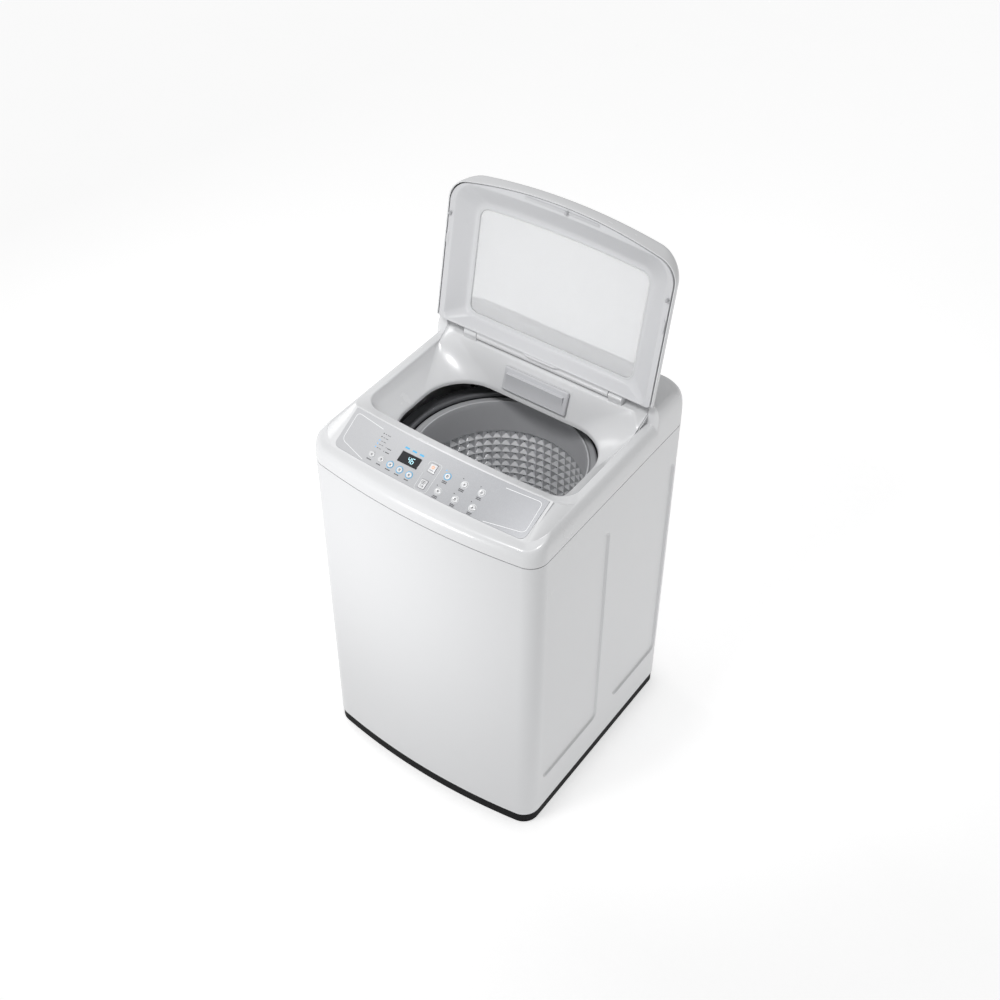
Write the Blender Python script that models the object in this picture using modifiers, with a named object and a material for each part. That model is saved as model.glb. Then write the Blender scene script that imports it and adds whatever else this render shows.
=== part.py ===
"""Top load washing machine: cabinet, moulded top, lid, controls, hung tub, basket and drive.

Metres, +Z up. The origin is on the floor under the drum's axis, and the front faces -Y.
"""
import math

import bmesh
import bpy
from mathutils import Matrix, Vector

# ---- driving dimensions -------------------------------------------------------------------
WIDTH = 0.540
DEPTH_FRONT = 0.261
DEPTH_REAR = 0.261
FRONT_BOW = 0.025
CORNER_RADIUS = 0.040
REAR_CORNER_RADIUS = 0.020
SEAM_Z = 0.800
SHEET = 0.0015
GAP = 0.0003

# plinth and feet
PLINTH_BOTTOM = 0.005
PLINTH_HEIGHT = 0.0247
PLINTH_INSET = 0.003
PLINTH_RIM = 0.055
FOOT_X = 0.225
FOOT_Y = 0.215
FOOT_RADIUS = 0.019
STUD_RADIUS = 0.005
STUD_TOP = 0.042

# pressed panels in the cabinet's sides
PANEL_DEPTH = 0.0022
PANEL_RADIUS = 0.016
PANEL_BOTTOM = 0.122
PANEL_TOP = SEAM_Z - 0.094
FRONT_PANEL_Y = (-0.215, -0.007)
REAR_PANEL_Y = (0.061, 0.238)
REAR_FLANGE = 0.018

# moulded top
COVER_WALL = 0.0028
RAIL_Z = SEAM_Z + 0.059
DECK_Z = SEAM_Z + 0.100
TROUGH_Z = SEAM_Z + 0.0825
DECK_FRONT_Y = 0.166
STEP_Y = (0.149, 0.156)
HOLE_HALF = 0.200
HOLE_FRONT_Y = -0.1395
HOLE_REAR_Y = 0.1165
HOLE_Z = SEAM_Z + 0.006
WALL_TOP_Y = 0.1400

# control fascia: slope down from the lip at the basin's front edge
LIP_Y = -0.1683
LIP_Z = SEAM_Z + 0.0785
FASCIA_SLOPE = math.radians(25.75)
FASCIA_HALF = 0.2262
FASCIA_TAPER = 0.0030
FASCIA_LENGTH = 0.088
FASCIA_THICK = 0.0022
FASCIA_BOW = 0.0080
BUTTON_RADIUS = 0.0060
BUTTON_HOLE = 0.0003
BUTTON_TRAVEL = 0.0015
BUTTON_PROUD = 0.0018
BUTTON_DEPTH = 0.0065
KEY_SIZE = (0.0150, 0.0190)
DISPLAY_CENTRE = (-0.0632, 0.0425)
DISPLAY_SIZE = (0.0460, 0.0225)
BOARD_DROP = 0.0150

# lid, in its closed place, measured from the hinge's axis
HINGE_Y = 0.147
HINGE_Z = SEAM_Z + 0.094
LID_OPEN_ANGLE = math.radians(100.75)
BARREL_RADIUS = 0.0085
BARREL_HALF = 0.1580
KNUCKLE_END = 0.1900
PIN_RADIUS = 0.0030
LID_HALF = 0.2585
LID_LENGTH = 0.346
LID_BOW = 0.035
LID_CORNER = 0.050
LID_CROWN = 0.026
LID_RIM_GAP = 0.0020
LID_RIM_WIDTH = (0.0143, 0.0185)
FRONT_BUMPER_X = 0.012
LID_UNDER = -0.013
WINDOW_HALF = 0.2030
WINDOW_FRONT = -LID_LENGTH + 0.0620
WINDOW_REAR = -0.0305
WINDOW_THICK = 0.0031
SHELL_WALL = 0.0022
FRAME_WALL = 0.0025

# dispenser drawer
DRAWER_HALF = 0.077
DRAWER_MID_Z = SEAM_Z + 0.0390
DRAWER_FRONT_LENGTH = 0.0520
DRAWER_FRONT_THICK = 0.0075
TRAY_HALF = 0.068
TRAY_Z = (SEAM_Z + 0.0260, SEAM_Z + 0.0560)
TRAY_REAR_Y = 0.212
TRAY_WALL = 0.0016

# tub, basket and drive
TUB_RADIUS = 0.230
TUB_WALL = 0.0030
TUB_TOP = SEAM_Z - 0.0648
TUB_BOTTOM = 0.2620
RING_INNER = 0.176
RING_OUTER = 0.1972
RING_TOP = TUB_TOP + 0.0118
RING_BOTTOM = TUB_TOP - 0.0662
BASKET_RADIUS = 0.180
BASKET_WALL = 0.0015
BASKET_BOTTOM = 0.300
COVER_BORE = 0.1990
PULSATOR_RADIUS = 0.160
SHAFT_RADIUS = 0.008
PULLEY_RADIUS = 0.075
MOTOR_PULLEY_RADIUS = 0.025
PULLEY_Z = (0.124, 0.142)
BELT_Z = (0.1285, 0.1375)
BELT_DEPTH = 0.0045
MOTOR_Y = 0.150
MOTOR_RADIUS = 0.050
PLATE_THICK = 0.003
ROD_X = 0.212
ROD_Y = 0.198
ROD_RADIUS = 0.004
GUSSET_Z = SEAM_Z - 0.030
LUG_Z = (0.300, 0.312)
SPRING_BOTTOM = 0.2045
SPRING_RADIUS = 0.0115
SPRING_WIRE = 0.0016
SPRING_TURNS = 4

# connectors at the back
REAR_REACH = 0.286
SPIGOT_RADIUS = 0.0125
SPIGOT_X = (-0.150, -0.105)
SPIGOT_Z = SEAM_Z + 0.055
DRAIN_AT = (0.170, 0.115)
GLAND_AT = (0.200, SEAM_Z - 0.100)

HALF = WIDTH / 2
PARTS_NAME = "top_load_washing_machine"


def clear_scene():
    """Remove what the file starts with."""
    for item in list(bpy.data.objects):
        bpy.data.objects.remove(item, do_unlink=True)


def new_collection(name):
    """Make a collection in the scene."""
    group = bpy.data.collections.new(name)
    bpy.context.scene.collection.children.link(group)
    return group


clear_scene()
PARTS = new_collection(PARTS_NAME)
CUTTERS = new_collection("cutters")


def material(name, colour, roughness, metallic=0.0):
    """Make a plain finish with a Principled BSDF."""
    finish = bpy.data.materials.new(name)
    finish.use_nodes = True
    shader = finish.node_tree.nodes["Principled BSDF"]
    shader.inputs["Base Color"].default_value = (*colour, 1.0)
    shader.inputs["Roughness"].default_value = roughness
    shader.inputs["Metallic"].default_value = metallic
    finish.diffuse_color = (*colour, 1.0)
    return finish


WHITE_STEEL = material("white_painted_steel", (0.80, 0.81, 0.82), 0.35)
WHITE_GLOSS = material("white_gloss_plastic", (0.82, 0.83, 0.84), 0.25)
LIGHT_PLASTIC = material("light_grey_plastic", (0.66, 0.67, 0.69), 0.40)
FASCIA_GREY = material("silver_grey_fascia", (0.30, 0.31, 0.33), 0.35, 0.3)
BUTTON_GREY = material("button_grey", (0.45, 0.46, 0.48), 0.30)
BLACK_GLOSS = material("black_gloss", (0.01, 0.01, 0.012), 0.10)
BLACK_PLASTIC = material("black_plastic", (0.02, 0.02, 0.022), 0.50)
CLEAR = material("tinted_clear", (0.75, 0.76, 0.78), 0.05)
RUBBER = material("grey_rubber", (0.25, 0.25, 0.27), 0.70)
STAINLESS = material("stainless_steel", (0.60, 0.60, 0.61), 0.25, 1.0)
RING_GREY = material("balance_ring_grey", (0.22, 0.22, 0.24), 0.40)
TUB_GREY = material("tub_plastic", (0.62, 0.63, 0.64), 0.50)
PULSATOR_GREY = material("pulsator_plastic", (0.50, 0.51, 0.53), 0.40)
ZINC = material("zinc_plated_steel", (0.55, 0.55, 0.56), 0.40, 1.0)
CAST = material("cast_aluminium", (0.50, 0.50, 0.50), 0.50, 1.0)
BOARD_GREEN = material("board_green", (0.02, 0.16, 0.08), 0.50)
BELT_BLACK = material("belt_rubber", (0.02, 0.02, 0.02), 0.80)


# ---- modelling helpers --------------------------------------------------------------------
def add_object(name, mesh, finish, cutter=False):
    """Link a mesh as a part, or as a cutter that isn't shown."""
    item = bpy.data.objects.new(name, mesh)
    if cutter:
        CUTTERS.objects.link(item)
        item.hide_render = True
        item.display_type = "WIRE"
        return item
    PARTS.objects.link(item)
    mesh.materials.append(finish)
    return item


def from_bmesh(name, shape, finish=None, cutter=False, smooth_angle=40):
    """Turn a bmesh into an object with outward faces."""
    mesh = bpy.data.meshes.new(name)
    shape.to_mesh(mesh)
    shape.free()
    mesh.shade_smooth()
    mesh.set_sharp_from_angle(angle=math.radians(smooth_angle))
    return add_object(name, mesh, finish, cutter)


def box(name, low, high, finish=None, cutter=False, matrix=None):
    """A box between two corners."""
    shape = bmesh.new()
    size = Vector(high) - Vector(low)
    middle = (Vector(high) + Vector(low)) / 2
    bmesh.ops.create_cube(shape, size=1.0, matrix=Matrix.Translation(middle) @ Matrix.Diagonal((*size, 1.0)))
    item = from_bmesh(name, shape, finish, cutter)
    if matrix is not None:
        item.matrix_world = matrix
    return item


def many_boxes(name, corners, matrices=None):
    """One cutter object that holds several boxes."""
    shape = bmesh.new()
    for index, (low, high) in enumerate(corners):
        size = Vector(high) - Vector(low)
        middle = (Vector(high) + Vector(low)) / 2
        place = Matrix.Translation(middle) @ Matrix.Diagonal((*size, 1.0))
        if matrices is not None:
            place = matrices[index] @ place
        bmesh.ops.create_cube(shape, size=1.0, matrix=place)
    return from_bmesh(name, shape, cutter=True)


def rods_shape(name, places, radius, segments=16, finish=None, cutter=False):
    """Cylinders between pairs of points, as one object."""
    shape = bmesh.new()
    for start, end in places:
        start = Vector(start)
        end = Vector(end)
        along = end - start
        turn = Vector((0, 0, 1)).rotation_difference(along).to_matrix().to_4x4()
        place = Matrix.Translation((start + end) / 2) @ turn
        bmesh.ops.create_cone(shape, cap_ends=True, segments=segments, radius1=radius, radius2=radius,
                              depth=along.length, matrix=place)
    return from_bmesh(name, shape, finish, cutter)


def turned(name, profile, finish=None, steps=24, at=(0.0, 0.0, 0.0), cutter=False, ring=False):
    """A turned body from its half section, which runs down the outer side."""
    mesh = bpy.data.meshes.new(name)
    points = [(radius, 0.0, height) for radius, height in profile]
    edges = [(i, i + 1) for i in range(len(points) - 1)]
    if ring:
        edges.append((len(points) - 1, 0))
    mesh.from_pydata(points, edges, [])
    item = add_object(name, mesh, finish, cutter)
    item.location = at
    spin = item.modifiers.new("turn", "SCREW")
    spin.angle = math.tau
    spin.steps = steps
    spin.render_steps = steps
    spin.use_merge_vertices = True
    spin.merge_threshold = 0.00001
    spin.use_smooth_shade = True
    return item


def flat_outline(name, loops, bottom, top, finish=None, cutter=False, matrix=None):
    """A flat plate from closed outlines, where inner loops are holes."""
    curve = bpy.data.curves.new(name, "CURVE")
    curve.dimensions = "2D"
    curve.fill_mode = "BOTH"
    curve.extrude = (top - bottom) / 2
    for loop in loops:
        line = curve.splines.new("POLY")
        line.points.add(len(loop) - 1)
        for point, (x, y) in zip(line.points, loop):
            point.co = (x, y, 0.0, 1.0)
        line.use_cyclic_u = True
    guide = bpy.data.objects.new(name + "_outline", curve)
    CUTTERS.objects.link(guide)
    place = Matrix.Translation((0, 0, (top + bottom) / 2))
    if matrix is not None:
        place = matrix @ place
    guide.matrix_world = place
    bpy.context.view_layer.update()
    ready = guide.evaluated_get(bpy.context.evaluated_depsgraph_get())
    mesh = bpy.data.meshes.new_from_object(ready)
    shape = bmesh.new()
    shape.from_mesh(mesh)
    bmesh.ops.remove_doubles(shape, verts=shape.verts, dist=0.00001)
    bmesh.ops.recalc_face_normals(shape, faces=shape.faces)
    shape.to_mesh(mesh)
    shape.free()
    mesh.name = name
    mesh.materials.clear()
    item = add_object(name, mesh, finish, cutter)
    item.matrix_world = place
    bpy.data.objects.remove(guide)
    return item


def circle(x, y, radius, count=16):
    """Points of a circle, counter-clockwise."""
    return [(x + radius * math.cos(math.tau * i / count), y + radius * math.sin(math.tau * i / count))
            for i in range(count)]


def rounded_rect(x0, x1, y0, y1, radius, steps=4):
    """Points of a rectangle with round corners, counter-clockwise."""
    corners = ((x1 - radius, y0 + radius, -90), (x1 - radius, y1 - radius, 0),
               (x0 + radius, y1 - radius, 90), (x0 + radius, y0 + radius, 180))
    points = []
    for cx, cy, start in corners:
        for step in range(steps + 1):
            angle = math.radians(start + 90 * step / steps)
            points.append((cx + radius * math.cos(angle), cy + radius * math.sin(angle)))
    return points


def boolean(item, other, operation):
    """Cut a piece with another, or join them."""
    change = item.modifiers.new(other.name, "BOOLEAN")
    change.operation = operation
    change.object = other
    change.solver = "EXACT"


def cut(item, other):
    """Take a cutter out of a piece."""
    boolean(item, other, "DIFFERENCE")


def join(item, other):
    """Add a cutter's shape to a piece."""
    boolean(item, other, "UNION")


def soften(item, width, segments=2):
    """Round a piece's sharp edges."""
    change = item.modifiers.new("soften", "BEVEL")
    change.width = width
    change.segments = segments
    change.limit_method = "ANGLE"
    change.angle_limit = math.radians(40)


# ---- plan lines: closed rings that run counter-clockwise from the front's centre -----------
FRONT_STATIONS = 5
CORNER_STATIONS = 4
REAR_CORNER_STATIONS = 3
REAR_STATIONS = 2
SIDE_SHARES = (0.25, 0.5, 0.75)


def smooth_share(share):
    """Ease from 0 to 1."""
    return share * share * (3 - 2 * share)


def mix(first, second, share):
    """A value between two."""
    return first + (second - first) * share


def ring(half, front, bow, rear, front_radius, rear_radius, z_front, z_side, z_rear, step=False):
    """A closed plan ring with its heights.

    front is the front centre's Y, and bow is how much further back the front's corners are.
    With step, the height changes from the side's to the rear's at STEP_Y, or else around
    the rear corners.
    """
    right = []
    centre_x = half - front_radius
    lean = math.atan(2 * bow * centre_x / half ** 2)
    start_x = centre_x + front_radius * math.sin(lean)
    start_y = front + bow * (start_x / half) ** 2
    centre_y = start_y + front_radius * math.cos(lean)
    for i in range(FRONT_STATIONS):
        x = start_x * i / FRONT_STATIONS
        right.append((x, front + bow * (x / half) ** 2, z_front))
    for i in range(CORNER_STATIONS + 1):
        share = i / CORNER_STATIONS
        angle = mix(lean, math.pi / 2, share)
        right.append((centre_x + front_radius * math.sin(angle), centre_y - front_radius * math.cos(angle),
                      mix(z_front, z_side, smooth_share(share))))
    rear_start = rear - rear_radius
    if step:
        for share in SIDE_SHARES:
            right.append((half, mix(centre_y, STEP_Y[0], share), z_side))
        right.append((half, STEP_Y[0], z_side))
        right.append((half, STEP_Y[1], z_rear))
    else:
        for share in (*SIDE_SHARES, 0.92, 0.96):
            right.append((half, mix(centre_y, rear_start, share), z_side))
    for i in range(REAR_CORNER_STATIONS + 1):
        share = i / REAR_CORNER_STATIONS
        angle = share * math.pi / 2
        height = z_rear if step else mix(z_side, z_rear, smooth_share(share))
        right.append((half - rear_radius + rear_radius * math.cos(angle),
                      rear_start + rear_radius * math.sin(angle), height))
    for i in range(1, REAR_STATIONS + 1):
        right.append(((half - rear_radius) * (1 - i / REAR_STATIONS), rear, z_rear))
    left = [(-x, y, z) for x, y, z in reversed(right[1:-1])]
    return right + left


def loft(name, rings, finish=None, wall=None, cutter=False, closed_ends=False):
    """A skin through rings that all have the same number of points."""
    shape = bmesh.new()
    rows = [[shape.verts.new(point) for point in line] for line in rings]
    count = len(rings[0])
    for low, high in zip(rows, rows[1:]):
        for i in range(count):
            j = (i + 1) % count
            shape.faces.new((low[i], low[j], high[j], high[i]))
    if closed_ends:
        shape.faces.new(list(reversed(rows[0])))
        shape.faces.new(rows[-1])
    item = from_bmesh(name, shape, finish, cutter)
    if wall is not None:
        thick = item.modifiers.new("wall", "SOLIDIFY")
        thick.thickness = wall
        thick.offset = -1.0
        thick.use_even_offset = True
        thick.use_quality_normals = True
    return item


# ---- control fascia's frame -----------------------------------------------------------------
def fascia_bow(x):
    """How far back the fascia's rows lie at this X."""
    return FASCIA_BOW * (x / FASCIA_HALF) ** 2


def fascia_point(x, along, height):
    """A point on the fascia: along runs down its slope, height is off its surface."""
    y = LIP_Y + fascia_bow(x) - along * math.cos(FASCIA_SLOPE) - height * math.sin(FASCIA_SLOPE)
    z = LIP_Z - along * math.sin(FASCIA_SLOPE) + height * math.cos(FASCIA_SLOPE)
    return Vector((x, y, z))


def fascia_matrix(x, along):
    """The frame of a control on the fascia, with its Z off the surface."""
    return Matrix.Translation(fascia_point(x, along, 0.0)) @ Matrix.Rotation(FASCIA_SLOPE, 4, "X")


def bent_plate(name, half_top, half_bottom, along, height, finish=None, cutter=False, columns=12):
    """A plate that follows the fascia's bow."""
    shape = bmesh.new()
    rows = []
    for i in range(columns + 1):
        share = 2 * i / columns - 1
        rows.append([shape.verts.new(fascia_point(share * mix(half_top, half_bottom, side), along[side],
                                                  height[level]))
                     for side, level in ((0, 0), (1, 0), (1, 1), (0, 1))])
    for first, second in zip(rows, rows[1:]):
        for i in range(4):
            j = (i + 1) % 4
            shape.faces.new((first[i], first[j], second[j], second[i]))
    shape.faces.new(list(reversed(rows[0])))
    shape.faces.new(rows[-1])
    bmesh.ops.recalc_face_normals(shape, faces=shape.faces)
    return from_bmesh(name, shape, finish, cutter)


# ---- cabinet --------------------------------------------------------------------------------
def cabinet_plan(half, inset):
    """The body's outline, moved inwards by an inset."""
    plan = ring(half - inset, -DEPTH_FRONT - FRONT_BOW + inset, FRONT_BOW, DEPTH_REAR - inset,
                CORNER_RADIUS - inset, REAR_CORNER_RADIUS - inset, 0, 0, 0)
    return [(x, y) for x, y, _ in plan]


def side_panels(inset, inner, outer):
    """The pressed panels' outlines as blocks on both sides, joined in one mesh."""
    shape = bmesh.new()
    for side in (-1, 1):
        for y0, y1 in (FRONT_PANEL_Y, REAR_PANEL_Y):
            points = rounded_rect(y0 + inset, y1 - inset, PANEL_BOTTOM + inset, PANEL_TOP - inset,
                                  PANEL_RADIUS - inset, 3)
            near = [shape.verts.new((side * inner, y, z)) for y, z in points]
            far = [shape.verts.new((side * outer, y, z)) for y, z in points]
            shape.faces.new(near)
            shape.faces.new(far)
            for i in range(len(points)):
                j = (i + 1) % len(points)
                shape.faces.new((near[i], near[j], far[j], far[i]))
    bmesh.ops.recalc_face_normals(shape, faces=shape.faces)
    return shape


def make_cabinet():
    """The painted wrap of front and sides, with pressed panels and corner gussets."""
    bottom = PLINTH_BOTTOM + PLINTH_HEIGHT + GAP
    plan = cabinet_plan(HALF, 0.0)
    centre = len(plan) // 2
    flange_x = HALF - REAR_CORNER_RADIUS - REAR_FLANGE
    right = [point for point in plan[:centre + 1] if not (point[1] > DEPTH_REAR - 0.0001 and point[0] < flange_x)]
    right.append((flange_x, DEPTH_REAR))
    left = [(-x, y) for x, y in reversed(right[1:])]
    path = left + right
    shape = bmesh.new()
    low = [shape.verts.new((x, y, bottom)) for x, y in path]
    high = [shape.verts.new((x, y, SEAM_Z)) for x, y in path]
    for i in range(len(path) - 1):
        shape.faces.new((low[i], low[i + 1], high[i + 1], high[i]))
    wrap = from_bmesh("cabinet", shape, WHITE_STEEL)
    thick = wrap.modifiers.new("sheet", "SOLIDIFY")
    thick.thickness = SHEET
    thick.offset = -1.0
    thick.use_even_offset = True
    pans = from_bmesh("cabinet_pans", side_panels(0.0, HALF - PANEL_DEPTH - SHEET, HALF - SHEET / 3), cutter=True)
    join(wrap, pans)
    dents = from_bmesh("cabinet_dents", side_panels(SHEET, HALF - PANEL_DEPTH, HALF + 0.01), cutter=True)
    cut(wrap, dents)
    join(wrap, make_gussets())
    holes = [((x, y, GUSSET_Z - 0.01), (x, y, GUSSET_Z + 0.01)) for x, y in rod_places()]
    cut(wrap, rods_shape("gusset_holes", holes, ROD_RADIUS + 0.0008, cutter=True))
    return wrap


def rod_places():
    """Where the suspension rods hang: front left, front right, rear left, rear right."""
    return [(side * ROD_X, end * ROD_Y) for end in (-1, 1) for side in (-1, 1)]


def make_gussets():
    """Corner plates near the cabinet's top that the suspension rods hang from."""
    shape = bmesh.new()
    reach = 0.030
    for x, y in rod_places():
        side = math.copysign(1, x)
        end = math.copysign(1, y)
        wall_x = HALF - SHEET / 2
        wall_y = (DEPTH_REAR - SHEET / 2) if end > 0 else (DEPTH_FRONT + FRONT_BOW * 0.19)
        outline = [(side * wall_x, y - end * reach), (side * wall_x, end * (wall_y - CORNER_RADIUS * 0.8)),
                   (side * (wall_x - CORNER_RADIUS * 0.8), end * wall_y), (x - side * reach, end * wall_y),
                   (x - side * reach, y - end * 0.008), (x - side * 0.008, y - end * reach)]
        bottom = [shape.verts.new((px, py, GUSSET_Z)) for px, py in outline]
        top = [shape.verts.new((px, py, GUSSET_Z + 0.003)) for px, py in outline]
        shape.faces.new(bottom)
        shape.faces.new(top)
        for i in range(len(outline)):
            j = (i + 1) % len(outline)
            shape.faces.new((bottom[i], bottom[j], top[j], top[i]))
    bmesh.ops.recalc_face_normals(shape, faces=shape.faces)
    return from_bmesh("gussets", shape, cutter=True)


def make_rear_panel():
    """The flat back sheet, outside the cabinet's flanges, with holes for the connectors."""
    half = HALF - REAR_CORNER_RADIUS
    bottom = PLINTH_BOTTOM + PLINTH_HEIGHT + GAP
    stand = Matrix.Translation((0, DEPTH_REAR + GAP, 0)) @ Matrix.Rotation(math.pi / 2, 4, "X")
    loops = [rounded_rect(-half, half, bottom + 0.002, SEAM_Z - 0.002, 0.006, 3),
             circle(DRAIN_AT[0], DRAIN_AT[1], 0.0215, 20), circle(GLAND_AT[0], GLAND_AT[1], 0.0095, 16)]
    for column in (-0.05, 0.05):
        for row in range(3):
            z = 0.22 + row * 0.022
            loops.append(rounded_rect(column - 0.035, column + 0.035, z, z + 0.006, 0.0028, 2))
    return flat_outline("rear_panel", loops, -SHEET, 0.0, WHITE_STEEL, matrix=stand)


def make_base():
    """The black plinth frame and its four levelling feet."""
    outer = cabinet_plan(HALF, PLINTH_INSET)
    inner = rounded_rect(-HALF + PLINTH_RIM, HALF - PLINTH_RIM, -DEPTH_FRONT + PLINTH_RIM,
                         DEPTH_REAR - PLINTH_RIM, 0.02)
    places = {"front_left": (-FOOT_X, -FOOT_Y), "front_right": (FOOT_X, -FOOT_Y),
              "rear_left": (-FOOT_X, FOOT_Y), "rear_right": (FOOT_X, FOOT_Y)}
    holes = [circle(x, y, STUD_RADIUS + GAP, 20) for x, y in places.values()]
    flat_outline("base_frame", [outer, inner, *holes], PLINTH_BOTTOM, PLINTH_BOTTOM + PLINTH_HEIGHT,
                 BLACK_PLASTIC)
    pad_top = PLINTH_BOTTOM - GAP
    for name, (x, y) in places.items():
        turned("foot_" + name, [(0, STUD_TOP), (STUD_RADIUS, STUD_TOP), (STUD_RADIUS, pad_top),
                                (FOOT_RADIUS * 0.8, pad_top), (FOOT_RADIUS, pad_top - 0.003),
                                (FOOT_RADIUS, 0.001), (FOOT_RADIUS - 0.001, 0.0), (0, 0.0)],
               BLACK_PLASTIC, 16, (x, y, 0.0))


# ---- moulded top ------------------------------------------------------------------------------
def rear_wall_y(z):
    """The basin's sloping rear wall."""
    return mix(HOLE_REAR_Y, WALL_TOP_Y, (z - HOLE_Z) / (TROUGH_Z - HOLE_Z))


def cover_rings():
    """Rings over the moulded top, from the seam to the basin's hole."""
    front = -DEPTH_FRONT - FRONT_BOW
    rear = DEPTH_REAR
    toe = fascia_point(0, FASCIA_LENGTH + 0.004, 0)
    lip = fascia_point(0, -0.003, 0)
    bow = FASCIA_BOW / FASCIA_HALF ** 2
    rim_y = -0.1350
    seam = SEAM_Z + GAP
    return [
        ring(HALF, front, FRONT_BOW, rear, CORNER_RADIUS, REAR_CORNER_RADIUS, seam, seam, seam),
        ring(HALF, front, FRONT_BOW, rear, CORNER_RADIUS, REAR_CORNER_RADIUS,
             SEAM_Z + 0.015, RAIL_Z - 0.034, SEAM_Z + 0.045, True),
        ring(HALF - 0.001, front + 0.0025, 0.024, rear - 0.0005, 0.040, 0.025,
             SEAM_Z + 0.027, RAIL_Z - 0.0165, DECK_Z - 0.028, True),
        ring(HALF - 0.004, front + 0.0095, 0.022, rear - 0.0018, 0.040, 0.035,
             toe.z - 0.0025, RAIL_Z - 0.0075, DECK_Z - 0.013, True),
        ring(HALF - 0.0085, toe.y - 0.009, 0.0185, rear - 0.006, 0.040, 0.045,
             toe.z - 0.0003, RAIL_Z - 0.002, DECK_Z - 0.0045, True),
        ring(HALF - 0.011, toe.y, bow * (HALF - 0.011) ** 2, rear - 0.012, 0.040, 0.052,
             toe.z, RAIL_Z - 0.0005, DECK_Z - 0.001, True),
        ring(HALF - 0.014, lip.y, bow * (HALF - 0.014) ** 2, rear - 0.026, 0.044, 0.050,
             lip.z, RAIL_Z, DECK_Z, True),
        ring(0.2445, rim_y, 0.008, DECK_FRONT_Y, 0.045, 0.008, RAIL_Z + 0.0025, RAIL_Z, DECK_Z, True),
        ring(0.2425, rim_y + 0.0025, 0.008, DECK_FRONT_Y - 0.0005, 0.043, 0.008,
             RAIL_Z + 0.0005, RAIL_Z - 0.002, TROUGH_Z, True),
        ring(0.2405, rim_y + 0.0025, 0.008, WALL_TOP_Y, 0.045, 0.030, RAIL_Z - 0.004, RAIL_Z - 0.007, TROUGH_Z),
        ring(0.2330, rim_y + 0.001, 0.007, rear_wall_y(seam + 0.0677), 0.055, 0.045, seam + 0.0397,
             seam + 0.0377, seam + 0.0677),
        ring(0.2200, rim_y - 0.0015, 0.006, rear_wall_y(seam + 0.0417), 0.070, 0.070, seam + 0.0247,
             seam + 0.0237, seam + 0.0417),
        ring(0.2090, rim_y - 0.0035, 0.004, rear_wall_y(seam + 0.0197), 0.090, 0.090, seam + 0.0127,
             seam + 0.0132, seam + 0.0197),
        ring(HOLE_HALF, HOLE_FRONT_Y, 0.003, HOLE_REAR_Y, 0.095, 0.095, HOLE_Z, HOLE_Z, HOLE_Z),
        ring(HOLE_HALF, HOLE_FRONT_Y, 0.003, HOLE_REAR_Y, 0.095, 0.095, HOLE_Z - 0.008, HOLE_Z - 0.008,
             HOLE_Z - 0.008),
    ]


def make_cover():
    """The moulded top with its basin, rails, deck, fascia recess and hinge knuckles."""
    cover = loft("top_cover", cover_rings(), WHITE_GLOSS, wall=COVER_WALL)
    edge = 0.006
    join(cover, bent_plate("fascia_tray", FASCIA_HALF + edge, FASCIA_HALF - FASCIA_TAPER + edge,
                           (-0.0022, FASCIA_LENGTH + 0.003), (-0.0060, -0.0006), cutter=True))
    cut(cover, bent_plate("fascia_recess", FASCIA_HALF + GAP, FASCIA_HALF - FASCIA_TAPER + GAP,
                          (-GAP, FASCIA_LENGTH + GAP), (-FASCIA_THICK, 0.004), cutter=True))
    cut(cover, bent_plate("fascia_window", FASCIA_HALF - 0.013, FASCIA_HALF - 0.013,
                          (0.008, FASCIA_LENGTH - 0.004), (-0.012, 0.001), cutter=True))
    feet = []
    barrels = []
    for side in (-1, 1):
        ends = sorted((side * (BARREL_HALF + 0.0015), side * KNUCKLE_END))
        feet.append(((ends[0], HINGE_Y - 0.006, TROUGH_Z - 0.0015), (ends[1], HINGE_Y + 0.006, HINGE_Z)))
        barrels.append(((ends[0], HINGE_Y, HINGE_Z), (ends[1], HINGE_Y, HINGE_Z)))
    join(cover, many_boxes("knuckle_feet", feet))
    join(cover, rods_shape("knuckle_barrels", barrels, BARREL_RADIUS, 20, cutter=True))
    bores = [((side * (BARREL_HALF - 0.01), HINGE_Y, HINGE_Z), (side * (KNUCKLE_END - 0.004), HINGE_Y, HINGE_Z))
             for side in (-1, 1)]
    cut(cover, rods_shape("knuckle_bores", bores, PIN_RADIUS + GAP, 16, cutter=True))
    cut(cover, box("drawer_mouth", (-TRAY_HALF - 0.0015, HOLE_REAR_Y - 0.02, TRAY_Z[0] - 0.0015),
                   (TRAY_HALF + 0.0015, WALL_TOP_Y + 0.012, TRAY_Z[1] + 0.0015), cutter=True))
    spouts = [((x, DEPTH_REAR - 0.02, SPIGOT_Z), (x, DEPTH_REAR + 0.02, SPIGOT_Z)) for x in SPIGOT_X]
    cut(cover, rods_shape("spigot_holes", spouts, SPIGOT_RADIUS + 0.0005, 20, cutter=True))
    return cover


# ---- controls -----------------------------------------------------------------------------------
ROUND_BUTTONS = {
    "button_option_1": (-0.1395, 0.0670), "button_option_2": (-0.1162, 0.0675),
    "button_option_3": (-0.0929, 0.0680), "button_option_4": (-0.0696, 0.0685),
    "button_option_5": (-0.0463, 0.0690),
    "button_program_1": (0.0243, 0.0380), "button_program_2": (0.0633, 0.0380),
    "button_program_3": (0.1023, 0.0380), "button_program_4": (0.0243, 0.0715),
    "button_program_5": (0.0633, 0.0715), "button_program_6": (0.1023, 0.0715),
}
SQUARE_KEYS = {"button_power": (-0.0110, 0.0370), "button_start": (-0.0110, 0.0725)}


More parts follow.
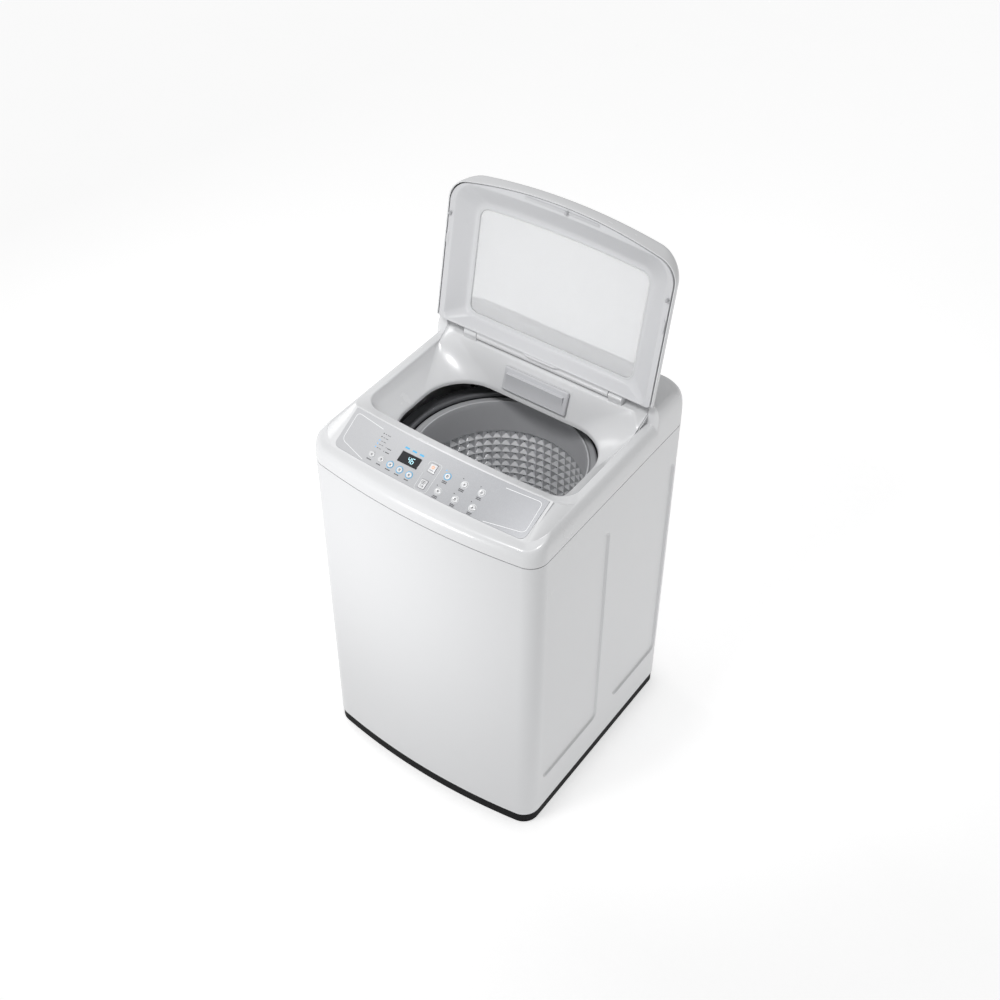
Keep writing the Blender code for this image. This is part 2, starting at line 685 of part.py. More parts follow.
def make_fascia():
    """The sloping control fascia with its holes, its display and the board behind it."""
    fascia = bent_plate("control_fascia", FASCIA_HALF, FASCIA_HALF - FASCIA_TAPER, (0.0, FASCIA_LENGTH),
                        (GAP - FASCIA_THICK, GAP), FASCIA_GREY, columns=12)
    depth = 0.01
    shape = bmesh.new()
    for x, along in ROUND_BUTTONS.values():
        bmesh.ops.create_cone(shape, cap_ends=True, segments=14, radius1=BUTTON_RADIUS + BUTTON_HOLE,
                              radius2=BUTTON_RADIUS + BUTTON_HOLE, depth=2 * depth, matrix=fascia_matrix(x, along))
    cut(fascia, from_bmesh("button_holes", shape, cutter=True))
    sizes = [(place, KEY_SIZE) for place in SQUARE_KEYS.values()]
    sizes.append((DISPLAY_CENTRE, DISPLAY_SIZE))
    corners = []
    places = []
    for (x, along), (wide, high) in sizes:
        corners.append(((-wide / 2 - GAP, -high / 2 - GAP, -depth), (wide / 2 + GAP, high / 2 + GAP, depth)))
        places.append(fascia_matrix(x, along))
    cut(fascia, many_boxes("key_holes", corners, places))


def make_controls():
    """Buttons, display and control board."""
    for name, (x, along) in ROUND_BUTTONS.items():
        button = turned(name, [(0, BUTTON_PROUD), (BUTTON_RADIUS * 0.82, BUTTON_PROUD),
                               (BUTTON_RADIUS, BUTTON_PROUD * 0.4), (BUTTON_RADIUS, -BUTTON_DEPTH),
                               (0, -BUTTON_DEPTH)], BUTTON_GREY, 14)
        button.matrix_world = fascia_matrix(x, along)
    for name, (x, along) in SQUARE_KEYS.items():
        wide, high = KEY_SIZE
        flat_outline(name, [rounded_rect(-wide / 2, wide / 2, -high / 2, high / 2, 0.0035, 3)],
                     -BUTTON_DEPTH, BUTTON_PROUD * 0.6, BUTTON_GREY, matrix=fascia_matrix(x, along))
    wide, high = DISPLAY_SIZE
    box("display_window", (-wide / 2, -high / 2, -0.0040), (wide / 2, high / 2, 0.0012), BLACK_GLOSS,
        matrix=fascia_matrix(*DISPLAY_CENTRE))
    top = fascia_point(0, 0.045, 0.0)
    place = Matrix.Translation(top) @ Matrix.Rotation(FASCIA_SLOPE, 4, "X")
    board = box("control_board", (-0.155, -0.031, -BOARD_DROP - 0.0016), (0.120, 0.024, -BOARD_DROP), BOARD_GREEN,
                matrix=place)
    posts = [(place @ Vector((x, y, -BOARD_DROP - 0.0008)), place @ Vector((x, y, -FASCIA_THICK - 0.0006)))
             for x in (-0.030, 0.045) for y in (-0.014, 0.019)]
    join(board, rods_shape("board_posts", posts, 0.0025, 10, cutter=True))


# ---- lid ------------------------------------------------------------------------------------------
def lid_parent():
    """The hinge's axis, turned to where the open lid rests."""
    hinge = bpy.data.objects.new("lid_hinge_axis", None)
    CUTTERS.objects.link(hinge)
    hinge.location = (0, HINGE_Y, HINGE_Z)
    hinge.rotation_euler = (-LID_OPEN_ANGLE, 0, 0)
    return hinge


def make_lid():
    """The lid's shell, inner frame, window and bumpers, on the hinge's axis."""
    hinge = lid_parent()
    front = -LID_LENGTH
    window_bow = 0.008
    shell = loft("lid_shell", [
        ring(LID_HALF - 0.001, front + 0.001, LID_BOW, -0.0110, LID_CORNER - 0.001, 0.006,
             -0.0125, -0.0125, 0.0010),
        ring(LID_HALF, front, LID_BOW, -0.0105, LID_CORNER, 0.006, -0.006, -0.006, 0.0035),
        ring(LID_HALF - 0.003, front, LID_BOW - 0.003, -0.0110, LID_CORNER, 0.008, 0.004, 0.004, 0.0060),
        ring(LID_HALF - 0.010, front + 0.0003, LID_BOW - 0.008, -0.0130, LID_CORNER, 0.010,
             LID_CROWN * 0.54, LID_CROWN * 0.54, 0.0105),
        ring(LID_HALF - 0.022, front + 0.002, LID_BOW - 0.013, -0.0160, LID_CORNER - 0.003, 0.012,
             LID_CROWN * 0.87, LID_CROWN * 0.87, 0.0140),
        ring(LID_HALF - 0.032, front + 0.011, LID_BOW - 0.015, -0.0200, LID_CORNER - 0.006, 0.018,
             LID_CROWN, LID_CROWN, 0.0160),
        ring(WINDOW_HALF + 0.0005, WINDOW_FRONT - 0.0005, window_bow, WINDOW_REAR + 0.0005, 0.030, 0.022,
             0.0165, 0.0165, 0.0165)], WHITE_GLOSS, wall=SHELL_WALL)
    rim_half = LID_HALF - 0.001 - SHELL_WALL - LID_RIM_GAP
    rim_front = front + 0.001 + SHELL_WALL + LID_RIM_GAP / 2
    rim_bow = LID_BOW - 0.0005
    dish_half = rim_half - LID_RIM_WIDTH[0]
    dish_front = rim_front + LID_RIM_WIDTH[1]
    frame = loft("lid_frame", [
        ring(WINDOW_HALF - 0.0070, WINDOW_FRONT + 0.0060, window_bow, WINDOW_REAR - 0.0060, 0.026, 0.018,
             0.0104, 0.0104, 0.0104),
        ring(WINDOW_HALF - 0.0015, WINDOW_FRONT + 0.0005, window_bow, WINDOW_REAR + 0.0005, 0.030, 0.020,
             0.0100, 0.0100, 0.0100),
        ring(WINDOW_HALF + 0.0050, WINDOW_FRONT - 0.0080, 0.009, -0.0265, 0.034, 0.020, 0.0080, 0.0080, 0.0070),
        ring(dish_half, dish_front, 0.012, -0.0160, 0.045, 0.014, LID_UNDER + 0.0010, LID_UNDER + 0.0010,
             LID_UNDER + 0.0015),
        ring(dish_half + 0.0020, dish_front - 0.0020, 0.012, -0.0145, 0.045, 0.012, LID_UNDER, LID_UNDER,
             LID_UNDER),
        ring(rim_half - 0.0008, rim_front + 0.0008, rim_bow, -0.0118, LID_CORNER - 0.002, 0.008, LID_UNDER,
             LID_UNDER, LID_UNDER),
        ring(rim_half, rim_front, rim_bow, -0.0115, LID_CORNER - 0.002, 0.008, LID_UNDER + 0.004,
             LID_UNDER + 0.004, -0.0030),
    ], LIGHT_PLASTIC, wall=FRAME_WALL)
    web = box("barrel_web", (-BARREL_HALF, -0.0130, -0.0075), (BARREL_HALF, 0.0, -0.0040), cutter=True)
    barrel = rods_shape("lid_barrel", [((-BARREL_HALF, 0, 0), (BARREL_HALF, 0, 0))], BARREL_RADIUS, 20, cutter=True)
    bores = rods_shape("lid_bores", [((side * (BARREL_HALF - 0.010), 0, 0), (side * (BARREL_HALF + 0.01), 0, 0))
                                     for side in (-1, 1)], PIN_RADIUS + GAP, 16, cutter=True)
    join(frame, web)
    join(frame, barrel)
    cut(frame, bores)
    pane = ring(WINDOW_HALF, WINDOW_FRONT, window_bow, WINDOW_REAR, 0.030, 0.022, 0, 0, 0)
    window = flat_outline("lid_window", [[(x, y) for x, y, _ in pane]], 0.0132, 0.0132 + WINDOW_THICK, CLEAR)
    side_x = rim_half - 0.0055
    side_y = front + 0.1020
    bumpers = {"lid_bumper_left": (-side_x, side_y, 0.0035), "lid_bumper_right": (side_x, side_y, 0.0035),
               "lid_bumper_front": (FRONT_BUMPER_X, rim_front + 0.0072, 0.0040)}
    pieces = [shell, frame, window, web, barrel, bores]
    for name, (x, y, radius) in bumpers.items():
        top = LID_UNDER - GAP
        pieces.append(turned(name, [(0, top), (radius, top), (radius, top - 0.0045), (radius * 0.75, top - 0.0068),
                                    (radius * 0.3, top - 0.0080), (0, top - 0.0080)], RUBBER, 16, (x, y, 0)))
    for piece in pieces:
        piece.parent = hinge
    for side, name in ((-1, "lid_hinge_pin_left"), (1, "lid_hinge_pin_right")):
        ends = ((side * (BARREL_HALF - 0.0090), HINGE_Y, HINGE_Z), (side * (KNUCKLE_END - 0.0045), HINGE_Y, HINGE_Z))
        rods_shape(name, [ends], PIN_RADIUS, 16, ZINC)


# ---- dispenser --------------------------------------------------------------------------------------
def make_drawer():
    """The detergent drawer with its sloping front, and the housing it slides in."""
    slope = math.atan2(WALL_TOP_Y - HOLE_REAR_Y, TROUGH_Z - HOLE_Z)
    place = Matrix.Translation((0, rear_wall_y(DRAWER_MID_Z), DRAWER_MID_Z)) @ Matrix.Rotation(-slope, 4, "X")
    half = DRAWER_FRONT_LENGTH / 2
    front = box("detergent_drawer", (-DRAWER_HALF, -DRAWER_FRONT_THICK - 0.0010, -half), (DRAWER_HALF, -0.0010, half),
                LIGHT_PLASTIC, matrix=place)
    soften(front, 0.0025)
    start = rear_wall_y(TRAY_Z[0]) - 0.006
    join(front, box("tray_block", (-TRAY_HALF, start, TRAY_Z[0]), (TRAY_HALF, TRAY_REAR_Y, TRAY_Z[1]), cutter=True))
    cup_start = rear_wall_y(TRAY_Z[1]) + 0.0035
    cut(front, box("tray_cup", (-TRAY_HALF + TRAY_WALL, cup_start, TRAY_Z[0] + TRAY_WALL),
                   (TRAY_HALF - TRAY_WALL, TRAY_REAR_Y - TRAY_WALL, TRAY_Z[1] + 0.01), cutter=True))
    clear = 0.0018
    wall = 0.0020
    mouth = rear_wall_y(TRAY_Z[1]) + COVER_WALL + 0.004
    house = box("drawer_housing", (-TRAY_HALF - clear - wall, mouth, TRAY_Z[0] - clear - wall),
                (TRAY_HALF + clear + wall, TRAY_REAR_Y + clear + wall, TRAY_Z[1] + clear + wall), LIGHT_PLASTIC)
    cut(house, box("housing_space", (-TRAY_HALF - clear, mouth - 0.01, TRAY_Z[0] - clear),
                   (TRAY_HALF + clear, TRAY_REAR_Y + clear, TRAY_Z[1] + clear), cutter=True))


# ---- connectors at the back ---------------------------------------------------------------------------
def make_connectors():
    """The water inlet valve, the drain elbow and the cord's gland."""
    y_inner = DEPTH_REAR - COVER_WALL - 0.0015
    valve = box("inlet_valve", (SPIGOT_X[0] - 0.018, y_inner - 0.030, SPIGOT_Z - 0.016),
                (SPIGOT_X[1] + 0.018, y_inner, SPIGOT_Z + 0.016), TUB_GREY)
    spouts = [((x, y_inner - 0.006, SPIGOT_Z), (x, REAR_REACH, SPIGOT_Z)) for x in SPIGOT_X]
    join(valve, rods_shape("valve_spouts", spouts, SPIGOT_RADIUS, 20, cutter=True))
    ways = [((x, y_inner - 0.004, SPIGOT_Z), (x, REAR_REACH + 0.01, SPIGOT_Z)) for x in SPIGOT_X]
    cut(valve, rods_shape("valve_ways", ways, SPIGOT_RADIUS - 0.004, 16, cutter=True))
    outer = DEPTH_REAR + GAP + SHEET + GAP
    x, z = DRAIN_AT
    drain = rods_shape("drain_elbow", [((x, DEPTH_REAR - 0.040, z), (x, REAR_REACH, z))], 0.0170, 20, TUB_GREY)
    join(drain, rods_shape("drain_flange", [((x, outer, z), (x, outer + 0.004, z))], 0.0260, 20, cutter=True))
    cut(drain, rods_shape("drain_way", [((x, DEPTH_REAR - 0.050, z), (x, REAR_REACH + 0.01, z))], 0.0140, 20,
                          cutter=True))
    x, z = GLAND_AT
    gland = rods_shape("cord_gland", [((x, DEPTH_REAR - 0.010, z), (x, outer + 0.010, z))], 0.0088, 16,
                       BLACK_PLASTIC)
    join(gland, rods_shape("gland_flange", [((x, outer, z), (x, outer + 0.003, z))], 0.0130, 16, cutter=True))


# ---- tub, drive and suspension ------------------------------------------------------------------------
def make_tub():
    """The outer tub with its four lugs, and the tub cover."""
    inner = TUB_RADIUS - TUB_WALL
    floor = TUB_BOTTOM + 0.004
    tub = turned("outer_tub", [(TUB_RADIUS, TUB_TOP), (TUB_RADIUS, TUB_BOTTOM + 0.016),
                               (TUB_RADIUS - 0.016, TUB_BOTTOM), (0.030, TUB_BOTTOM), (0.030, floor),
                               (inner - 0.014, floor), (inner, TUB_BOTTOM + 0.018), (inner, TUB_TOP)],
                 TUB_GREY, 32, ring=True)
    reach = math.hypot(ROD_X, ROD_Y) + 0.014
    turns = []
    for x, y in rod_places():
        turns.append(Matrix.Rotation(math.atan2(y, x), 4, "Z"))
    lugs = [((TUB_RADIUS - 0.002, -0.020, LUG_Z[0]), (reach, 0.020, LUG_Z[1]))] * 4
    join(tub, many_boxes("tub_lugs", lugs, turns))
    holes = [((x, y, LUG_Z[0] - 0.01), (x, y, LUG_Z[1] + 0.01)) for x, y in rod_places()]
    cut(tub, rods_shape("lug_holes", holes, ROD_RADIUS + 0.0010, 16, cutter=True))
    edge = TUB_RADIUS + 0.0015
    base = TUB_TOP + GAP
    turned("tub_cover", [(edge, base + 0.008), (edge, base), (COVER_BORE + 0.010, base), (COVER_BORE, base + 0.006),
                         (COVER_BORE, base + 0.0140), (COVER_BORE + 0.0015, base + 0.0160),
                         (COVER_BORE + 0.005, base + 0.0155), (edge - 0.008, base + 0.0100)],
           TUB_GREY, 36, ring=True)


def make_drive():
    """Mounting plate, clutch housing, motor, pulleys, belt and drain pump under the tub."""
    top = TUB_BOTTOM - GAP
    loops = [rounded_rect(-0.110, 0.110, -0.115, 0.205, 0.03), circle(0, 0, 0.0535, 32),
             circle(0, MOTOR_Y, 0.0120, 20)]
    flat_outline("mounting_plate", loops, top - PLATE_THICK, top, ZINC)
    turned("gearbox", [(0, 0.2785), (0.0150, 0.2785), (0.0150, TUB_BOTTOM - 0.0015), (0.0520, TUB_BOTTOM - 0.0015),
                       (0.0520, 0.2050), (0.0420, 0.1950), (0.0420, 0.1700), (0.0200, 0.1620), (0.0200, 0.1480),
                       (SHAFT_RADIUS, 0.1480), (SHAFT_RADIUS, 0.1200), (0, 0.1200)], CAST, 20)
    plate_low = top - PLATE_THICK - GAP
    turned("motor", [(0, plate_low), (MOTOR_RADIUS * 0.8, plate_low), (MOTOR_RADIUS, plate_low - 0.008),
                     (MOTOR_RADIUS, 0.1750), (MOTOR_RADIUS * 0.7, 0.1650), (0.0150, 0.1600), (0.0150, 0.1480),
                     (0.0060, 0.1480), (0.0060, 0.1200), (0, 0.1200)], ZINC, 20, (0, MOTOR_Y, 0))
    for name, radius, bore, y in (("drive_pulley", PULLEY_RADIUS, SHAFT_RADIUS, 0.0),
                                  ("motor_pulley", MOTOR_PULLEY_RADIUS, 0.0060, MOTOR_Y)):
        groove = radius - BELT_DEPTH
        turned(name, [(radius, PULLEY_Z[1]), (radius, BELT_Z[1] + GAP), (groove, BELT_Z[1] + GAP),
                      (groove, BELT_Z[0] - GAP), (radius, BELT_Z[0] - GAP), (radius, PULLEY_Z[0]),
                      (bore + GAP, PULLEY_Z[0]), (bore + GAP, PULLEY_Z[1])], CAST, 24, (0, y, 0), ring=True)
    flat_outline("drive_belt", [belt_loop(BELT_DEPTH - GAP), belt_loop(0.0)], BELT_Z[0], BELT_Z[1], BELT_BLACK)
    pump_low = TUB_BOTTOM - GAP
    x, y = -0.150, -0.150
    pump = turned("drain_pump", [(0, pump_low), (0.0300, pump_low), (0.0300, 0.2150), (0.0220, 0.2100),
                                 (0.0220, 0.1750), (0, 0.1750)], TUB_GREY, 24, (x, y, 0))
    join(pump, rods_shape("pump_spout", [((x, y, 0.232), (x - 0.045, y + 0.010, 0.232))], 0.0110, 16, cutter=True))


def belt_loop(thick):
    """The belt's line around both pulleys, in the grooves."""
    big = PULLEY_RADIUS - BELT_DEPTH + GAP + thick
    small = MOTOR_PULLEY_RADIUS - BELT_DEPTH + GAP + thick
    lean = math.asin((big - small) / MOTOR_Y)
    points = []
    for i in range(13):
        angle = mix(lean, math.pi - lean, i / 12)
        points.append((small * math.cos(angle), MOTOR_Y + small * math.sin(angle)))
    for i in range(25):
        angle = mix(math.pi - lean, math.tau + lean, i / 24)
        points.append((big * math.cos(angle), big * math.sin(angle)))
    return points


def make_suspension():
    """Four rods that hang from the cabinet's corners, with springs under the tub's lugs."""
    names = ("front_left", "front_right", "rear_left", "rear_right")
    cup = SPRING_BOTTOM - GAP
    seat = GUSSET_Z + 0.003 + GAP
    turn_points = 8
    for name, (x, y) in zip(names, rod_places()):
        turned("suspension_rod_" + name, [(0, seat + 0.012), (0.006, seat + 0.010), (0.010, seat + 0.003),
                                          (0.010, seat), (ROD_RADIUS, seat), (ROD_RADIUS, cup),
                                          (0.016, cup), (0.016, cup - 0.003), (0.006, cup - 0.008),
                                          (0, cup - 0.008)], ZINC, 16, (x, y, 0))
        curve = bpy.data.curves.new("suspension_spring_" + name, "CURVE")
        curve.dimensions = "3D"
        curve.bevel_depth = SPRING_WIRE
        curve.bevel_resolution = 2
        curve.use_fill_caps = True
        count = SPRING_TURNS * turn_points + 1
        line = curve.splines.new("POLY")
        line.points.add(count - 1)
        low = SPRING_BOTTOM + SPRING_WIRE
        high = LUG_Z[0] - GAP - SPRING_WIRE
        for i, point in enumerate(line.points):
            angle = math.tau * i / turn_points
            point.co = (SPRING_RADIUS * math.cos(angle), SPRING_RADIUS * math.sin(angle),
                        mix(low, high, i / (count - 1)), 1.0)
        curve.materials.append(ZINC)
        spring = bpy.data.objects.new("suspension_spring_" + name, curve)
        PARTS.objects.link(spring)
        spring.location = (x, y, 0)


# ---- basket and pulsator --------------------------------------------------------------------------------
def make_basket():
    """The stainless basket, its base, the balance ring and the lint filter."""
    inner = BASKET_RADIUS - BASKET_WALL
    top = RING_BOTTOM - GAP
    turned("basket_wall", [(0.1930, top), (0.1930, top - BASKET_WALL), (BASKET_RADIUS, top - BASKET_WALL),
                           (BASKET_RADIUS, BASKET_BOTTOM), (inner, BASKET_BOTTOM), (inner, top)],
           STAINLESS, 36, ring=True)
    turned("balance_ring", [(RING_OUTER - 0.002, RING_TOP), (RING_OUTER, RING_TOP - 0.003),
                            (RING_OUTER, RING_BOTTOM), (RING_INNER - 0.001, RING_BOTTOM),
                            (RING_INNER, RING_TOP - 0.003), (RING_INNER + 0.002, RING_TOP)],
           RING_GREY, 36, ring=True)
    floor_top = BASKET_BOTTOM - GAP
    turned("basket_base", [(BASKET_RADIUS, floor_top), (BASKET_RADIUS, 0.2900), (0.0500, 0.2860), (0.0300, 0.2790),
                           (0.0065, 0.2790), (0.0065, 0.2940), (0.0500, 0.2940), (BASKET_RADIUS - 0.012, floor_top)],
           CAST, 32, ring=True)
    depth = 0.016
    filter_y = -inner + 0.0015
    case = box("lint_filter", (-0.032, filter_y + 0.002, 0.440), (0.032, filter_y + depth, 0.580), LIGHT_PLASTIC)
    soften(case, 0.004)


def make_pulsator():
    """The low pulsator disc with its vanes, and its cap."""
    low = BASKET_BOTTOM + 0.003
    disc = turned("pulsator", [(0, 0.3310), (0.0200, 0.3310), (0.0500, 0.3240), (0.1000, 0.3140),
                               (PULSATOR_RADIUS - 0.006, 0.3110), (PULSATOR_RADIUS, 0.3080), (PULSATOR_RADIUS, low),
                               (0.0055, low), (0.0055, 0.2800), (0, 0.2800)], PULSATOR_GREY, 28)
    vanes = [((0.030, -0.007, low + 0.004), (PULSATOR_RADIUS - 0.012, 0.007, 0.3340))] * 4
    join(disc, many_boxes("pulsator_vanes", vanes, [Matrix.Rotation(math.tau * i / 4, 4, "Z") for i in range(4)]))
    turned("pulsator_cap", [(0, 0.3390), (0.0120, 0.3380), (0.0180, 0.3350), (0.0180, 0.3313), (0, 0.3313)],
           LIGHT_PLASTIC, 24)


make_cabinet()
make_rear_panel()
make_base()
make_cover()
make_fascia()
make_controls()
make_lid()
make_drawer()
make_connectors()
make_tub()
make_drive()
make_suspension()
make_basket()
make_pulsator()
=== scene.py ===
"""Top load washing machine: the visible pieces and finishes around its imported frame.

Every class is one sub-assembly. It holds its sizes as fields, builds its meshes in metres in
the machine's own frame (+Z up, the front faces -Y), and dresses them with procedural finishes.
"""
from __future__ import annotations

import logging
import math
import random
from dataclasses import dataclass, field
from enum import Enum
from typing import Callable, Iterable, Sequence

import bmesh
import bpy
import numpy as np
from mathutils import Matrix, Vector


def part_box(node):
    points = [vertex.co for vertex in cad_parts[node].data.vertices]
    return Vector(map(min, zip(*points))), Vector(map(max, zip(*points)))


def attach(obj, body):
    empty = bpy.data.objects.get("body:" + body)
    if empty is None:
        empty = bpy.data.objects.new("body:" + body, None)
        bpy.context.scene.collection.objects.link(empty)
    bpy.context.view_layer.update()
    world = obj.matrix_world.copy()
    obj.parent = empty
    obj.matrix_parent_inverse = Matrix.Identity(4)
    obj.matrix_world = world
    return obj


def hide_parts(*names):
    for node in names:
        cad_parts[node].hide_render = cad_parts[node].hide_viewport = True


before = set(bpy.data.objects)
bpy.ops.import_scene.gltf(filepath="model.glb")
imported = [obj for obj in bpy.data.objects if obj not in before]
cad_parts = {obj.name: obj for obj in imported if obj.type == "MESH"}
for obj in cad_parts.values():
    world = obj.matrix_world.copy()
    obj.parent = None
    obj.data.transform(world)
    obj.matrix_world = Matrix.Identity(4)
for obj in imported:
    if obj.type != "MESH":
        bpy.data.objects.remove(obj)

LOG = logging.getLogger("washing_machine")
GAP = 0.0003

Point2 = tuple[float, float]
Point3 = tuple[float, float, float]
Colour = tuple[float, float, float]
Band = tuple[list[Point2], list[Point2], bool]
Tree = bpy.types.NodeTree
Socket = bpy.types.NodeSocket


class Grain(Enum):
    """The fine relief that a finish carries."""

    PEEL = "peel"
    MOULDED = "moulded"
    BRUSHED = "brushed"
    CAST = "cast"


class Side(Enum):
    """Left or right of the machine, as its user sees it."""

    LEFT = -1
    RIGHT = 1


# ---- shared shader effects --------------------------------------------------------------------
class Effects:
    """Shader node groups that more than one finish uses, each built once."""

    def __init__(self) -> None:
        """Start with no group built."""
        self._groups: dict[str, Tree] = {}

    def _new(self, name: str, inputs: dict[str, object], outputs: dict[str, str]) -> tuple:
        """Make an empty group.

        Args:
            name: The group's name.
            inputs: Input names with their default values; a tuple is a colour or a vector.
            outputs: Output names with their socket types.

        Returns:
            The tree with its input node and its output node.
        """
        tree = bpy.data.node_groups.new(name, "ShaderNodeTree")
        for label, value in inputs.items():
            kind = "NodeSocketFloat"
            if isinstance(value, tuple):
                kind = "NodeSocketColor" if len(value) == 4 else "NodeSocketVector"
            socket = tree.interface.new_socket(name=label, in_out="INPUT", socket_type=kind)
            socket.default_value = value
        for label, kind in outputs.items():
            tree.interface.new_socket(name=label, in_out="OUTPUT", socket_type=kind)
        start = tree.nodes.new("NodeGroupInput")
        end = tree.nodes.new("NodeGroupOutput")
        start.location = (-800, 0)
        end.location = (600, 0)
        self._groups[name] = tree
        return tree, start, end

    @staticmethod
    def math(tree: Tree, operation: str, first: object, second: object) -> Socket:
        """Add a math node.

        Args:
            tree: The tree that gets the node.
            operation: The node's operation.
            first: A socket or a number.
            second: A socket or a number.

        Returns:
            The node's output.
        """
        node = tree.nodes.new("ShaderNodeMath")
        node.operation = operation
        for slot, value in enumerate((first, second)):
            if isinstance(value, Socket):
                tree.links.new(value, node.inputs[slot])
            else:
                node.inputs[slot].default_value = value
        return node.outputs[0]

    @staticmethod
    def noise(tree: Tree, scale: object, detail: float, stretch: object = None) -> Socket:
        """Add a noise over the piece's own coordinates.

        Args:
            tree: The tree that gets the nodes.
            scale: A socket or a number.
            detail: The noise's detail.
            stretch: A socket with a vector that the coordinates are multiplied by, or None.

        Returns:
            The noise's value, around 0.5.
        """
        place = tree.nodes.new("ShaderNodeTexCoord").outputs["Object"]
        if stretch is not None:
            scaled = tree.nodes.new("ShaderNodeVectorMath")
            scaled.operation = "MULTIPLY"
            tree.links.new(place, scaled.inputs[0])
            tree.links.new(stretch, scaled.inputs[1])
            place = scaled.outputs[0]
        node = tree.nodes.new("ShaderNodeTexNoise")
        node.inputs["Detail"].default_value = detail
        tree.links.new(place, node.inputs["Vector"])
        if isinstance(scale, Socket):
            tree.links.new(scale, node.inputs["Scale"])
        else:
            node.inputs["Scale"].default_value = scale
        return node.outputs["Fac"]

    def colour_drift(self) -> Tree:
        """A slow change of colour over a moulded or painted surface."""
        name = "colour_drift"
        if name in self._groups:
            return self._groups[name]
        tree, start, end = self._new(
            name,
            {"Colour": (0.8, 0.8, 0.8, 1.0), "Tint": (0.7, 0.7, 0.7, 1.0), "Scale": 4.0, "Amount": 0.5},
            {"Colour": "NodeSocketColor", "Mask": "NodeSocketFloat"})
        slow = self.noise(tree, start.outputs["Scale"], 3.0)
        fine = self.noise(tree, self.math(tree, "MULTIPLY", start.outputs["Scale"], 23.0), 2.0)
        both = self.math(tree, "ADD", self.math(tree, "MULTIPLY", slow, 0.75),
                         self.math(tree, "MULTIPLY", fine, 0.25))
        mask = self.math(tree, "MULTIPLY", both, start.outputs["Amount"])
        blend = tree.nodes.new("ShaderNodeMix")
        blend.data_type = "RGBA"
        tree.links.new(mask, blend.inputs["Factor"])
        tree.links.new(start.outputs["Colour"], blend.inputs["A"])
        tree.links.new(start.outputs["Tint"], blend.inputs["B"])
        tree.links.new(blend.outputs["Result"], end.inputs["Colour"])
        tree.links.new(mask, end.inputs["Mask"])
        return tree

    def gloss_drift(self) -> Tree:
        """A slow change of roughness, as handling and moulding leave it."""
        name = "gloss_drift"
        if name in self._groups:
            return self._groups[name]
        tree, start, end = self._new(name, {"Roughness": 0.4, "Spread": 0.1, "Scale": 8.0},
                                     {"Roughness": "NodeSocketFloat"})
        patch = self.math(tree, "SUBTRACT", self.noise(tree, start.outputs["Scale"], 4.0), 0.5)
        change = self.math(tree, "MULTIPLY", patch, start.outputs["Spread"])
        tree.links.new(self.math(tree, "ADD", start.outputs["Roughness"], change), end.inputs["Roughness"])
        return tree

    def fine_relief(self) -> Tree:
        """Two sizes of grain, stretched to make peel, moulded grain, cast grain or brushing."""
        name = "fine_relief"
        if name in self._groups:
            return self._groups[name]
        tree, start, end = self._new(name, {"Scale": 300.0, "Stretch": (1.0, 1.0, 1.0), "Coarse": 0.5},
                                     {"Height": "NodeSocketFloat"})
        fine = self.noise(tree, start.outputs["Scale"], 2.0, start.outputs["Stretch"])
        coarse = self.noise(tree, self.math(tree, "MULTIPLY", start.outputs["Scale"], 0.23), 2.0,
                            start.outputs["Stretch"])
        share = self.math(tree, "MULTIPLY", coarse, start.outputs["Coarse"])
        tree.links.new(self.math(tree, "ADD", fine, share), end.inputs["Height"])
        return tree

    def metal_flake(self) -> Tree:
        """Fine bright flakes in a silver paint."""
        name = "metal_flake"
        if name in self._groups:
            return self._groups[name]
        tree, start, end = self._new(name, {"Colour": (0.4, 0.4, 0.4, 1.0), "Flake": (0.8, 0.8, 0.8, 1.0),
                                            "Scale": 900.0, "Amount": 0.4},
                                     {"Colour": "NodeSocketColor", "Mask": "NodeSocketFloat"})
        cells = tree.nodes.new("ShaderNodeTexVoronoi")
        tree.links.new(tree.nodes.new("ShaderNodeTexCoord").outputs["Object"], cells.inputs["Vector"])
        tree.links.new(start.outputs["Scale"], cells.inputs["Scale"])
        parts = tree.nodes.new("ShaderNodeSeparateColor")
        tree.links.new(cells.outputs["Color"], parts.inputs["Color"])
        bright = self.math(tree, "POWER", parts.outputs["Red"], 4.0)
        mask = self.math(tree, "MULTIPLY", bright, start.outputs["Amount"])
        blend = tree.nodes.new("ShaderNodeMix")
        blend.data_type = "RGBA"
        tree.links.new(mask, blend.inputs["Factor"])
        tree.links.new(start.outputs["Colour"], blend.inputs["A"])
        tree.links.new(start.outputs["Flake"], blend.inputs["B"])
        tree.links.new(blend.outputs["Result"], end.inputs["Colour"])
        tree.links.new(mask, end.inputs["Mask"])
        return tree

    @staticmethod
    def place(tree: Tree, group: Tree, values: dict[str, object]) -> bpy.types.Node:
        """Put a group in a material.

        Args:
            tree: The material's tree.
            group: The group to place.
            values: Its input values by name.

        Returns:
            The group's node.
        """
        node = tree.nodes.new("ShaderNodeGroup")
        node.node_tree = group
        for label, value in values.items():
            node.inputs[label].default_value = value
        return node


EFFECTS = Effects()

RELIEF = {
    Grain.PEEL: ((1.0, 1.0, 1.0), 0.9),
    Grain.MOULDED: ((1.0, 1.0, 1.0), 0.3),
    Grain.BRUSHED: ((1.0, 1.0, 24.0), 0.2),
    Grain.CAST: ((1.0, 1.0, 1.0), 1.5),
}


